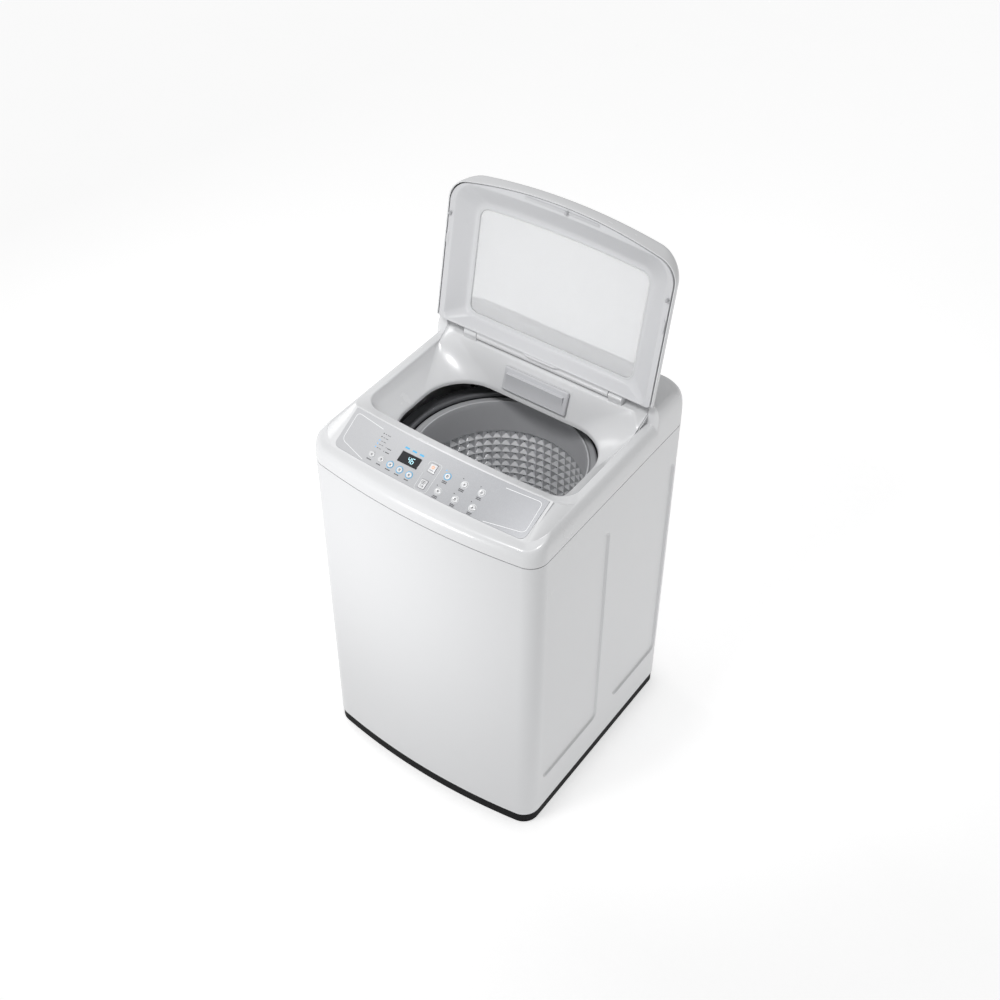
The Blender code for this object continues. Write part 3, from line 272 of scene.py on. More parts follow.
# ---- finishes -----------------------------------------------------------------------------------
@dataclass(frozen=True)
class Finish:
    """A painted, moulded or metal finish with drifting colour, drifting gloss and a fine relief."""

    name: str
    slot: str
    colour: Colour
    tint: Colour
    roughness: float
    metallic: float = 0.0
    spread: float = 0.08
    amount: float = 0.5
    drift_scale: float = 5.0
    grain: Grain = Grain.MOULDED
    grain_scale: float = 700.0
    grain_depth: float = 0.00002
    grain_strength: float = 0.15
    coat: float = 0.0
    specular: float = 0.5

    def material(self) -> bpy.types.Material:
        """Return the finish's material, building it the first time."""
        found = bpy.data.materials.get(self.name)
        return found if found is not None else self._build()

    def _build(self) -> bpy.types.Material:
        """Build the material's nodes."""
        material = bpy.data.materials.new(self.name)
        material.use_nodes = True
        material.diffuse_color = (*self.colour, 1.0)
        tree = material.node_tree
        shader = tree.nodes["Principled BSDF"]
        shader.inputs["Metallic"].default_value = self.metallic
        shader.inputs["Specular IOR Level"].default_value = self.specular
        if self.coat:
            shader.inputs["Coat Weight"].default_value = self.coat
            shader.inputs["Coat Roughness"].default_value = 0.06
        self.paint(tree, shader)
        gloss = Effects.place(tree, EFFECTS.gloss_drift(),
                              {"Roughness": self.roughness, "Spread": self.spread,
                               "Scale": self.drift_scale * 3})
        tree.links.new(gloss.outputs["Roughness"], shader.inputs["Roughness"])
        stretch, coarse = RELIEF[self.grain]
        relief = Effects.place(tree, EFFECTS.fine_relief(),
                               {"Scale": self.grain_scale, "Stretch": stretch, "Coarse": coarse})
        bump = tree.nodes.new("ShaderNodeBump")
        bump.inputs["Strength"].default_value = self.grain_strength
        bump.inputs["Distance"].default_value = self.grain_depth
        tree.links.new(relief.outputs["Height"], bump.inputs["Height"])
        tree.links.new(bump.outputs["Normal"], shader.inputs["Normal"])
        return material

    def paint(self, tree: Tree, shader: bpy.types.Node) -> None:
        """Feed the shader's base colour.

        Args:
            tree: The material's tree.
            shader: Its Principled BSDF.
        """
        drift = Effects.place(tree, EFFECTS.colour_drift(),
                              {"Colour": (*self.colour, 1.0), "Tint": (*self.tint, 1.0),
                               "Scale": self.drift_scale, "Amount": self.amount})
        tree.links.new(drift.outputs["Colour"], shader.inputs["Base Color"])


@dataclass(frozen=True)
class FlakeFinish(Finish):
    """Silver paint under a clear film, with a painted shade that darkens it towards the panel's right end."""

    flake: Colour = (0.8, 0.8, 0.82)
    painted_shade_colour: Colour = (0.2, 0.2, 0.21)
    shade_start_x: float = -0.18
    shade_end_x: float = 0.16

    def paint(self, tree: Tree, shader: bpy.types.Node) -> None:
        """Feed the base colour with a painted shade that darkens it slowly along X, and the flakes.

        Args:
            tree: The material's tree.
            shader: Its Principled BSDF.
        """
        place = tree.nodes.new("ShaderNodeTexCoord")
        parts = tree.nodes.new("ShaderNodeSeparateXYZ")
        tree.links.new(place.outputs["Object"], parts.inputs["Vector"])
        # Painted shade: the silver darkens smoothly along X, from its own colour to a darker one.
        fade = tree.nodes.new("ShaderNodeMapRange")
        fade.interpolation_type = "SMOOTHSTEP"
        fade.inputs["From Min"].default_value = self.shade_start_x
        fade.inputs["From Max"].default_value = self.shade_end_x
        tree.links.new(parts.outputs["X"], fade.inputs["Value"])
        blend = tree.nodes.new("ShaderNodeMix")
        blend.data_type = "RGBA"
        blend.inputs["A"].default_value = (*self.colour, 1.0)
        blend.inputs["B"].default_value = (*self.painted_shade_colour, 1.0)
        tree.links.new(fade.outputs["Result"], blend.inputs["Factor"])
        flakes = Effects.place(tree, EFFECTS.metal_flake(),
                               {"Flake": (*self.flake, 1.0), "Scale": 2400.0, "Amount": 0.22})
        tree.links.new(blend.outputs["Result"], flakes.inputs["Colour"])
        tree.links.new(flakes.outputs["Colour"], shader.inputs["Base Color"])


@dataclass(frozen=True)
class GlassFinish(Finish):
    """Clear moulded plastic for the lid's window."""

    def _build(self) -> bpy.types.Material:
        """Build the material with a plain transmission."""
        material = super()._build()
        shader = material.node_tree.nodes["Principled BSDF"]
        shader.inputs["Transmission Weight"].default_value = 0.55
        shader.inputs["IOR"].default_value = 1.20
        return material


@dataclass(frozen=True)
class GlowFinish(Finish):
    """A lamp, a lit digit, the evenly bright floor, or the orange print whose glow is painted light."""

    glow: float = 1.0

    def _build(self) -> bpy.types.Material:
        """Build the material with an emission of its own colour."""
        material = super()._build()
        tree = material.node_tree
        shader = tree.nodes["Principled BSDF"]
        source = shader.inputs["Base Color"].links[0].from_socket
        tree.links.new(source, shader.inputs["Emission Color"])
        shader.inputs["Emission Strength"].default_value = self.glow
        return material


ENAMEL = Finish("white_enamel", "white_painted_steel", (0.69, 0.695, 0.705), (0.66, 0.665, 0.675), 0.32,
                amount=0.30,
                grain=Grain.PEEL, grain_scale=420.0, grain_depth=0.00006, grain_strength=0.22, coat=0.3)
GLOSS_WHITE = Finish("white_gloss_moulding", "white_gloss_plastic", (0.70, 0.705, 0.715),
                     (0.67, 0.675, 0.685), 0.26,
                     amount=0.35, grain=Grain.PEEL, grain_scale=500.0, grain_depth=0.00004,
                     grain_strength=0.15, coat=0.25)
LID_GREY = Finish("lid_liner_grey", "light_grey_plastic", (0.60, 0.605, 0.62), (0.58, 0.585, 0.60), 0.34,
                  amount=0.2, grain_depth=0.00001, coat=0.15)
DRAWER_GREY = Finish("drawer_grey", "light_grey_plastic", (0.55, 0.555, 0.575), (0.52, 0.525, 0.54), 0.32,
                     coat=0.2)
TRIM_GREY = Finish("inner_trim_grey", "light_grey_plastic", (0.62, 0.63, 0.64), (0.56, 0.57, 0.58), 0.42)
# The fascia's silver darkens towards its right end: painted shade.
FASCIA = FlakeFinish("fascia_silver", "silver_grey_fascia", (0.54, 0.545, 0.56), (0.4, 0.4, 0.41), 0.34,
                     metallic=0.25, grain_scale=2200.0, grain_strength=0.05, painted_shade_colour=(0.30, 0.305, 0.32))
KEY_GREY = Finish("key_grey", "button_grey", (0.64, 0.645, 0.655), (0.60, 0.605, 0.615), 0.24, coat=0.4)
BLACK_GLASS = Finish("display_black", "black_gloss", (0.006, 0.006, 0.008), (0.012, 0.012, 0.014), 0.08,
                     spread=0.03, coat=1.0)
BLACK_GRAIN = Finish("black_grain", "black_plastic", (0.003, 0.003, 0.0035), (0.008, 0.008, 0.009), 0.62,
                     specular=0.12,
                     grain=Grain.MOULDED, grain_scale=900.0, grain_depth=0.0001, grain_strength=0.4)
SEAM_SHADOW = Finish("seam_shadow_grey", "black_plastic", (0.10, 0.102, 0.105), (0.08, 0.082, 0.085), 0.6)
BOARD = Finish("board_green_lacquer", "board_green", (0.02, 0.15, 0.07), (0.03, 0.20, 0.10), 0.35, amount=0.8,
               drift_scale=60.0)
CLEAR = GlassFinish("window_clear", "tinted_clear", (0.86, 0.865, 0.875), (0.83, 0.835, 0.845), 0.04,
                    spread=0.03, grain_depth=0.000005, grain_strength=0.02)
RUBBER = Finish("soft_rubber", "grey_rubber", (0.46, 0.465, 0.48), (0.40, 0.405, 0.415), 0.62,
                grain=Grain.CAST, grain_scale=1500.0, grain_depth=0.00008, grain_strength=0.35)
STAINLESS = Finish("basket_stainless", "stainless_steel", (0.86, 0.865, 0.88), (0.80, 0.805, 0.815), 0.38,
                   metallic=0.72, spread=0.08, grain=Grain.BRUSHED, grain_scale=160.0, grain_depth=0.00003,
                   grain_strength=0.25)
RING_DARK = Finish("ring_dark_grey", "balance_ring_grey", (0.46, 0.465, 0.48), (0.42, 0.425, 0.44), 0.36,
                   grain_depth=0.00004, grain_strength=0.25)
TUB_PLASTIC = Finish("tub_grey_plastic", "tub_plastic", (0.13, 0.132, 0.140), (0.11, 0.113, 0.120), 0.34,
                     grain_depth=0.00006, grain_strength=0.3)
PULSATOR = Finish("pulsator_grey", "pulsator_plastic", (0.42, 0.43, 0.45), (0.37, 0.38, 0.40), 0.30)
ZINC = Finish("zinc_plate", "zinc_plated_steel", (0.56, 0.57, 0.58), (0.44, 0.44, 0.43), 0.36, metallic=1.0,
              spread=0.2, amount=0.9, drift_scale=30.0, grain=Grain.BRUSHED, grain_scale=200.0)
CAST = Finish("cast_aluminium_grain", "cast_aluminium", (0.52, 0.52, 0.53), (0.40, 0.40, 0.41), 0.48,
              metallic=1.0, spread=0.2, amount=0.8, grain=Grain.CAST, grain_scale=900.0, grain_depth=0.00015,
              grain_strength=0.5)
BELT = Finish("belt_black", "belt_rubber", (0.02, 0.02, 0.02), (0.035, 0.035, 0.035), 0.72, grain=Grain.CAST,
              grain_scale=1600.0, grain_depth=0.0001, grain_strength=0.5)
PRINT_WHITE = Finish("print_white", "silver_grey_fascia", (0.86, 0.87, 0.88), (0.80, 0.81, 0.82), 0.35)
PRINT_DARK = Finish("print_dark", "silver_grey_fascia", (0.035, 0.036, 0.040), (0.05, 0.05, 0.055), 0.45)
PRINT_SILVER = Finish("print_silver", "silver_grey_fascia", (0.68, 0.69, 0.70), (0.60, 0.61, 0.62), 0.28,
                      metallic=0.3)
PRINT_BLUE = Finish("print_blue", "silver_grey_fascia", (0.075, 0.40, 0.68), (0.10, 0.46, 0.74), 0.30)
LAMP_BLUE = GlowFinish("lamp_blue", "silver_grey_fascia", (0.02, 0.38, 0.78), (0.04, 0.45, 0.85), 0.30,
                       glow=0.35)
LAMP_RED = GlowFinish("lamp_red", "black_gloss", (0.30, 0.004, 0.004), (0.36, 0.006, 0.006), 0.40, glow=0.4)
LAMP_ICE = GlowFinish("lamp_ice", "black_gloss", (0.45, 0.78, 0.86), (0.50, 0.82, 0.90), 0.40, glow=0.9)
# The orange print on the power key glows though it is no lamp: painted light.
GLOWING_ORANGE_PRINT = GlowFinish("print_orange_painted_glow", "button_grey", (0.85, 0.24, 0.02), (0.80, 0.28, 0.04), 0.40,
                          glow=0.25)
FLOOR_PALE = GlowFinish("floor_pale", "", (0.94, 0.94, 0.94), (0.92, 0.92, 0.92), 0.9, grain_depth=0.0001,
                        specular=0.1, glow=0.50)


# ---- mesh making ----------------------------------------------------------------------------------
def mix(first: float, second: float, share: float) -> float:
    """Return a value between two."""
    return first + (second - first) * share


def ease(share: float) -> float:
    """Return a share from 0 to 1, eased at both ends."""
    return share * share * (3 - 2 * share)


def to_object(name: str, shape: bmesh.types.BMesh, smooth_angle: float = 35.0) -> bpy.types.Object:
    """Turn a bmesh into an object.

    Args:
        name: The object's name.
        shape: The bmesh, which is freed.
        smooth_angle: Edges sharper than this stay crisp, in degrees; 0 keeps all faces flat.

    Returns:
        The new object, linked to the scene.
    """
    mesh = bpy.data.meshes.new(name)
    shape.to_mesh(mesh)
    shape.free()
    if smooth_angle > 0:
        mesh.shade_smooth()
        mesh.set_sharp_from_angle(angle=math.radians(smooth_angle))
    item = bpy.data.objects.new(name, mesh)
    bpy.context.scene.collection.objects.link(item)
    return item


def freeze(item: bpy.types.Object, smooth_angle: float = 35.0) -> bpy.types.Object:
    """Replace an object's mesh by its modified one.

    Args:
        item: The object whose modifiers are applied.
        smooth_angle: Edges sharper than this stay crisp, in degrees.

    Returns:
        The same object.
    """
    graph = bpy.context.evaluated_depsgraph_get()
    mesh = bpy.data.meshes.new_from_object(item.evaluated_get(graph))
    item.modifiers.clear()
    item.data = mesh
    mesh.shade_smooth()
    mesh.set_sharp_from_angle(angle=math.radians(smooth_angle))
    return item


def combine(item: bpy.types.Object, other: bpy.types.Object, operation: str) -> bpy.types.Object:
    """Apply a Boolean and remove its other object.

    Args:
        item: The object that is kept.
        other: The object that is added or taken away.
        operation: UNION or DIFFERENCE.

    Returns:
        The first object.
    """
    change = item.modifiers.new("combine", "BOOLEAN")
    change.operation = operation
    change.solver = "EXACT"
    change.object = other
    freeze(item)
    bpy.data.objects.remove(other)
    return item


def thicken(item: bpy.types.Object, wall: float, offset: float = -1.0) -> bpy.types.Object:
    """Give a skin a wall.

    Args:
        item: The skin.
        wall: The wall's thickness.
        offset: -1 keeps the skin outside, 1 inside.

    Returns:
        The same object, with its modifier applied.
    """
    change = item.modifiers.new("wall", "SOLIDIFY")
    change.thickness = wall
    change.offset = offset
    change.use_even_offset = True
    return freeze(item)


def steady_normals(item: bpy.types.Object) -> bpy.types.Object:
    """Weight an object's normals by face area, which keeps large faces clean beside fillets."""
    change = item.modifiers.new("steady", "WEIGHTED_NORMAL")
    change.keep_sharp = True
    return item


def join_rows(shape: bmesh.types.BMesh, rows: Sequence[Sequence[bmesh.types.BMVert]], closed: bool) -> None:
    """Fill the faces between rows of vertices.

    Args:
        shape: The bmesh that holds them.
        rows: Rows with the same number of vertices.
        closed: Whether each row is a loop.
    """
    count = len(rows[0])
    for low, high in zip(rows, rows[1:]):
        for i in range(count if closed else count - 1):
            j = (i + 1) % count
            shape.faces.new((low[i], low[j], high[j], high[i]))


def loft(name: str, rings: Sequence[Sequence[Point3]], smooth_angle: float = 35.0) -> bpy.types.Object:
    """Make a skin through closed rings.

    Args:
        name: The object's name.
        rings: Rings with the same number of points.
        smooth_angle: Edges sharper than this stay crisp, in degrees.

    Returns:
        The skin.
    """
    shape = bmesh.new()
    rows = [[shape.verts.new(point) for point in line] for line in rings]
    join_rows(shape, rows, closed=True)
    return to_object(name, shape, smooth_angle)


def box_shape(corners: Iterable[tuple[Point3, Point3]], matrices: Sequence[Matrix] | None = None,
              edge: float = 0.0) -> bmesh.types.BMesh:
    """Make boxes in one bmesh.

    Args:
        corners: The lowest and highest corner of each box.
        matrices: A place for each box, or None.
        edge: The width of the rounded edges.

    Returns:
        The bmesh.
    """
    shape = bmesh.new()
    for index, (low, high) in enumerate(corners):
        size = Vector(high) - Vector(low)
        middle = (Vector(high) + Vector(low)) / 2
        place = Matrix.Translation(middle) @ Matrix.Diagonal((*size, 1.0))
        if matrices is not None:
            place = matrices[index] @ place
        bmesh.ops.create_cube(shape, size=1.0, matrix=place)
    if edge > 0:
        bmesh.ops.bevel(shape, geom=list(shape.edges), offset=edge, segments=3, profile=0.5, affect="EDGES")
    return shape


def rod_shape(ends: Iterable[tuple[Point3, Point3]], radius: float, segments: int = 40) -> bmesh.types.BMesh:
    """Make straight rods in one bmesh.

    Args:
        ends: The two end points of each rod.
        radius: Their radius.
        segments: The number of sides.

    Returns:
        The bmesh.
    """
    shape = bmesh.new()
    for first, last in ends:
        line = Vector(last) - Vector(first)
        turn = line.to_track_quat("Z", "Y").to_matrix().to_4x4()
        place = Matrix.Translation((Vector(first) + Vector(last)) / 2) @ turn
        bmesh.ops.create_cone(shape, cap_ends=True, segments=segments, radius1=radius, radius2=radius,
                              depth=line.length, matrix=place)
    return shape


def soft_profile(points: Sequence[Point2], radii: Sequence[float], steps: int = 4) -> list[Point2]:
    """Round the corners of a turned profile.

    Args:
        points: The profile's corners as radius and height.
        radii: A fillet for each corner; 0 keeps it crisp.
        steps: The number of pieces in each fillet.

    Returns:
        The finer profile.
    """
    result = [points[0]]
    for index in range(1, len(points) - 1):
        here = np.array(points[index])
        radius = radii[index]
        if radius <= 0:
            result.append(tuple(here))
            continue
        ends = []
        for other in (points[index - 1], points[index + 1]):
            line = np.array(other) - here
            length = float(np.linalg.norm(line))
            ends.append(here + line * min(radius / length, 0.5))
        for step in range(steps + 1):
            t = step / steps
            result.append(tuple((1 - t) ** 2 * ends[0] + 2 * t * (1 - t) * here + t * t * ends[1]))
    result.append(points[-1])
    return result


def turned(name: str, profile: Sequence[Point2], steps: int = 96, at: Point3 = (0.0, 0.0, 0.0),
           matrix: Matrix | None = None, closed: bool = False,
           smooth_angle: float = 35.0) -> bpy.types.Object:
    """Turn a profile around the Z axis.

    Args:
        name: The object's name.
        profile: Points as radius and height; radius 0 closes on the axis.
        steps: The number of steps around.
        at: Where the axis stands.
        matrix: A place for the turned shape, used after at.
        closed: Whether the profile is a loop.
        smooth_angle: Edges sharper than this stay crisp, in degrees.

    Returns:
        The turned object.
    """
    place = (matrix if matrix is not None else Matrix.Identity(4)) @ Matrix.Translation(at)
    shape = bmesh.new()
    rows: list[list[bmesh.types.BMVert]] = []
    for radius, height in profile:
        if radius < 1e-7:
            rows.append([shape.verts.new(place @ Vector((0, 0, height)))] * steps)
            continue
        rows.append([shape.verts.new(place @ Vector((radius * math.cos(math.tau * i / steps),
                                                     radius * math.sin(math.tau * i / steps), height)))
                     for i in range(steps)])
    pairs = list(zip(rows, rows[1:]))
    if closed:
        pairs.append((rows[-1], rows[0]))
    for low, high in pairs:
        for i in range(steps):
            j = (i + 1) % steps
            corners = list(dict.fromkeys((low[i], low[j], high[j], high[i])))
            if len(corners) > 2:
                shape.faces.new(corners)
    bmesh.ops.recalc_face_normals(shape, faces=shape.faces)
    return to_object(name, shape, smooth_angle)


def round_section(rings: Sequence[Sequence[Point3]], radii: Sequence[float | None],
                  steps: int = 4) -> list[list[Point3]]:
    """Round a lofted section at each ring, so that it runs as one smooth line.

    Args:
        rings: The rings of the loft.
        radii: A fillet for each ring; None rounds as far as half of the way to its neighbours.
        steps: The number of pieces in each fillet.

    Returns:
        The finer rings.
    """
    lines = [np.array(line) for line in rings]
    rows = [lines[0]]
    for index in range(1, len(lines) - 1):
        here = lines[index]
        ends = []
        for other in (lines[index - 1], lines[index + 1]):
            line = other - here
            length = np.maximum(np.linalg.norm(line, axis=1, keepdims=True), 1e-9)
            radius = radii[index]
            share = 0.5 if radius is None else np.minimum(radius / length, 0.5)
            ends.append(here + line * share)
        for step in range(steps + 1):
            t = step / steps
            row = (1 - t) ** 2 * ends[0] + 2 * t * (1 - t) * here + t * t * ends[1]
            if np.abs(row - rows[-1]).max() > 1e-6:
                rows.append(row)
    rows.append(lines[-1])
    return [[tuple(point) for point in row] for row in rows]


def rounded_rect(x0: float, x1: float, y0: float, y1: float, radius: float, steps: int = 6) -> list[Point2]:
    """Return a rounded rectangle's outline, anticlockwise."""
    points = []
    for cx, cy, start in ((x1 - radius, y0 + radius, -90), (x1 - radius, y1 - radius, 0),
                          (x0 + radius, y1 - radius, 90), (x0 + radius, y0 + radius, 180)):
        for i in range(steps + 1):
            angle = math.radians(start + 90 * i / steps)
            points.append((cx + radius * math.cos(angle), cy + radius * math.sin(angle)))
    return points


@dataclass(frozen=True)
class PlanRing:
    """Plan rings of the moulded top and the lid: a bowed front, rounded corners and straight sides."""

    front_stations: int = 26
    corner_stations: int = 14
    rear_corner_stations: int = 10
    rear_stations: int = 14
    side_stations: int = 12
    step_stations: int = 6
    step_y: tuple[float, float] = (0.149, 0.156)

    def line(self, half: float, front: float, bow: float, rear: float, front_radius: float,
             rear_radius: float,
             z_front: float, z_side: float, z_rear: float, step: bool = False) -> list[Point3]:
        """Return a closed ring.

        Args:
            half: Half of its width.
            front: The front centre's Y.
            bow: How much further back the front's corners are.
            rear: The rear's Y.
            front_radius: The front corners' radius.
            rear_radius: The rear corners' radius.
            z_front: The height of the front.
            z_side: The height of the sides.
            z_rear: The height of the rear.
            step: Whether the height changes at the deck's step, or else around the rear corners.

        Returns:
            The ring's points, anticlockwise from the front's centre.
        """
        right: list[Point3] = []
        centre_x = half - front_radius
        lean = math.atan(2 * bow * centre_x / half ** 2)
        start_x = centre_x + front_radius * math.sin(lean)
        start_y = front + bow * (start_x / half) ** 2
        centre_y = start_y + front_radius * math.cos(lean)
        for i in range(self.front_stations):
            x = start_x * i / self.front_stations
            right.append((x, front + bow * (x / half) ** 2, z_front))
        for i in range(self.corner_stations + 1):
            share = i / self.corner_stations
            angle = mix(lean, math.pi / 2, share)
            right.append((centre_x + front_radius * math.sin(angle),
                          centre_y - front_radius * math.cos(angle), mix(z_front, z_side, ease(share))))
        rear_start = rear - rear_radius
        side_end = self.step_y[0] if step else mix(centre_y, rear_start, 0.9)
        step_end = self.step_y[1] if step else rear_start
        for i in range(1, self.side_stations + 1):
            right.append((half, mix(centre_y, side_end, i / self.side_stations), z_side))
        for i in range(1, self.step_stations + 1):
            share = i / self.step_stations
            rise = mix(z_side, z_rear, ease(share)) if step else z_side
            right.append((half, mix(side_end, step_end, share), rise))
        for i in range(1, self.rear_corner_stations + 1):
            share = i / self.rear_corner_stations
            angle = share * math.pi / 2
            height = z_rear if step else mix(z_side, z_rear, ease(share))
            right.append((half - rear_radius + rear_radius * math.cos(angle),
                          rear_start + rear_radius * math.sin(angle), height))
        for i in range(1, self.rear_stations + 1):
            right.append(((half - rear_radius) * (1 - i / self.rear_stations), rear, z_rear))
        left = [(-x, y, z) for x, y, z in reversed(right[1:-1])]
        return right + left


# ---- sub-assemblies -------------------------------------------------------------------------------
@dataclass
class SubAssembly:
    """A group of pieces that are built, dressed and reported together."""

    pieces: list[bpy.types.Object] = field(default_factory=list, init=False)

    def add(self, piece: bpy.types.Object, body: str, finish: Finish, *stands_for: str,
            extra: Sequence[Finish] = ()) -> bpy.types.Object:
        """Give a new piece its finish and the body that it rides on.

        Args:
            piece: The piece, in place.
            body: The body that carries it.
            finish: Its main finish.
            stands_for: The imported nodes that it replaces.
            extra: Finishes of further material slots.

        Returns:
            The piece.
        """
        piece.data.materials.clear()
        for each in (finish, *extra):
            piece.data.materials.append(each.material())
        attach(piece, body)
        if stands_for:
            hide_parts(*stands_for)
        self.pieces.append(piece)
        return piece

    @staticmethod
    def dress_node(node: str, finish: Finish, smooth_angle: float = 40.0) -> None:
        """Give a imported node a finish.

        Args:
            node: The node's name.
            finish: Its finish.
            smooth_angle: Edges sharper than this stay crisp, in degrees.
        """
        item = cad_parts[node]
        item.data.materials.clear()
        item.data.materials.append(finish.material())
        item.data.shade_smooth()
        item.data.set_sharp_from_angle(angle=math.radians(smooth_angle))

    def build(self) -> None:
        """Build the sub-assembly's new pieces."""

    def dress(self) -> None:
        """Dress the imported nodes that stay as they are."""

    def report(self) -> None:
        """Log each piece that was built."""
        for piece in self.pieces:
            LOG.info("%s: %s with %d faces", type(self).__name__, piece.name, len(piece.data.polygons))


@dataclass
class Cabinet(SubAssembly):
    """The painted steel wrap with its pressed side panels, the plinth, the feet and the back."""

    half: float = 0.270
    front_y: float = -0.286
    bow: float = 0.025
    rear_y: float = 0.261
    corner_radius: float = 0.040
    rear_radius: float = 0.020
    bottom_z: float = 0.030
    seam_z: float = 0.800
    seam_step: float = 0.0007
    skirt_inset: float = 0.0022
    skirt_z: tuple[float, float] = (0.0010, 0.0320)
    sheet: float = 0.0012
    flange: float = 0.018
    panel_z: tuple[float, float] = (0.121, 0.707)
    panel_y: tuple[tuple[float, float], ...] = ((-0.216, -0.006), (0.060, 0.239))
    panel_radius: float = 0.017
    panel_depth: float = 0.0042
    press_width: float = 0.0045

    def _plan(self) -> list[Point2]:
        """Return the wrap's line from the left rear flange around the front to the right one."""
        rings = PlanRing(front_stations=24, corner_stations=16, side_stations=10, rear_corner_stations=8)
        whole = rings.line(self.half, self.front_y, self.bow, self.rear_y, self.corner_radius,
                           self.rear_radius, 0, 0, 0)
        centre = len(whole) // 2
        edge = self.half - self.rear_radius - self.flange
        right = [(x, y) for x, y, _ in whole[:centre + 1] if not (y > self.rear_y - 1e-4 and x < edge)]
        side_x = self.half - 1e-6
        ends = [point for point in right if abs(point[0]) >= side_x]
        first_y, last_y = min(p[1] for p in ends), max(p[1] for p in ends)
        lines = set()
        for y0, y1 in self.panel_y:
            for centre_y in (y0, y1):
                for step in range(-12, 13):
                    lines.add(round(centre_y + step * 0.002, 5))
        lines.update(round(mix(first_y, last_y, i / 24), 5) for i in range(25))
        side = [(self.half, y) for y in sorted(lines) if first_y < y < last_y]
        before = [point for point in right if abs(point[0]) < side_x and point[1] <= first_y + 1e-6]
        after = [point for point in right if abs(point[0]) < side_x and point[1] >= last_y - 1e-6]
        right = before + [(self.half, first_y)] + side + [(self.half, last_y)] + after + [(edge, self.rear_y)]
        left = [(-x, y) for x, y in reversed(right[1:])]
        return left + right

    def _press(self, y: float, z: float) -> float:
        """Return how deep the side is pressed in at a point.

        Args:
            y: The point's Y.
            z: The point's Z.

        Returns:
            The depth inwards.
        """
        deepest = 0.0
        for y0, y1 in self.panel_y:
            half_y = (y1 - y0) / 2 - self.panel_radius
            half_z = (self.panel_z[1] - self.panel_z[0]) / 2 - self.panel_radius
            dy = abs(y - (y0 + y1) / 2) - half_y
            dz = abs(z - sum(self.panel_z) / 2) - half_z
            outside = math.hypot(max(dy, 0.0), max(dz, 0.0)) + min(max(dy, dz), 0.0) - self.panel_radius
            share = min(max(-outside / self.press_width, 0.0), 1.0)
            deepest = max(deepest, ease(share) * self.panel_depth)
        return deepest

    def _heights(self) -> list[float]:
        """Return the heights of the wrap's rows, close together at the panels' ends."""
        lines = {self.bottom_z, self.seam_z - self.seam_step, self.seam_z - self.seam_step - 0.0012}
        for middle in self.panel_z:
            lines.update(round(middle + step * 0.002, 5) for step in range(-12, 13))
        lines.update(round(mix(self.bottom_z, self.seam_z - self.seam_step, i / 30), 5) for i in range(31))
        return sorted(lines)

    def build(self) -> None:
        """Build the wrap, the back's screws, the painted shadow in the joint and the skirt."""
        plan = self._plan()
        shape = bmesh.new()
        rows = []
        for z in self._heights():
            row = []
            for x, y in plan:
                depth = self._press(y, z) if abs(x) > self.half - 1e-6 else 0.0
                row.append(shape.verts.new((x - math.copysign(depth, x), y, z)))
            rows.append(row)
        join_rows(shape, rows, closed=False)
        wrap = thicken(to_object("cabinet_wrap", shape), self.sheet)
        self.add(steady_normals(wrap), "cabinet", ENAMEL, "cabinet")
        self._build_screws()
        self._build_seam()
        self._build_skirt()

    def _build_skirt(self) -> None:
        """Build the black skirt round the foot of the machine. It reaches down to the floor, so its lowest
        part is a painted shadow of the gap under the plinth.
        """
        rings = PlanRing()
        inset = self.skirt_inset
        rows = [rings.line(self.half - inset, self.front_y + inset, self.bow, self.rear_y - inset,
                           self.corner_radius - inset, self.rear_radius - inset, z, z, z)
                           for z in self.skirt_z]
        # Partly real black plinth, partly painted shadow where it fills the gap down to the floor.
        self.add(thicken(loft("plinth_skirt_and_gap_shadow", rows), 0.0010), "cabinet", BLACK_GRAIN)

    def _build_seam(self) -> None:
        """Build a dark band in the joint between the wrap and the moulded top, a painted shadow of the gap
        there.
        """
        rings = PlanRing()
        rows = []
        for inset, z in ((0.0016, self.seam_z - 0.004), (0.0016, self.seam_z + 0.004)):
            rows.append(rings.line(self.half - inset, self.front_y + inset, self.bow, self.rear_y - inset,
                                   self.corner_radius - inset, self.rear_radius - inset, z, z, z))
        # Painted shadow: a dark sheet sits in the gap between the wrap and the top.
        gap_shadow = thicken(loft("seam_gap_shadow", rows), 0.0008)
        self.add(gap_shadow, "cabinet", SEAM_SHADOW)

    def _build_screws(self) -> None:
        """Build the screws around the rear panel."""
        low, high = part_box("rear_panel")
        shape = bmesh.new()
        places = [(x, z) for x in (low.x + 0.012, 0.0, high.x - 0.012)
                  for z in (low.z + 0.015, high.z - 0.015)]
        places += [(x, (low.z + high.z) / 2) for x in (low.x + 0.012, high.x - 0.012)]
        for x, z in places:
            turn = Matrix.Translation((x, high.y, z)) @ Matrix.Rotation(-math.pi / 2, 4, "X")
            for radius, top, base in ((0.0060, 0.0012, 0.0002), (0.0042, 0.0030, 0.0010)):
                place = turn @ Matrix.Translation((0, 0, (top + base) / 2))
                bmesh.ops.create_cone(shape, cap_ends=True, segments=24, radius1=radius,
                                      radius2=radius * 0.86, depth=top - base, matrix=place)
        self.add(to_object("rear_screws", shape, 30), "cabinet", ZINC)

    def dress(self) -> None:
        """Dress the plinth, the feet, the rear panel and the hidden springs and rods."""
        self.dress_node("rear_panel", ENAMEL)
        self.dress_node("base_frame", BLACK_GRAIN, 30)
        for corner in ("front_left", "front_right", "rear_left", "rear_right"):
            self.dress_node("foot_" + corner, BLACK_GRAIN)
            self.dress_node("suspension_rod_" + corner, ZINC)
            self.dress_node("suspension_spring_" + corner, ZINC)


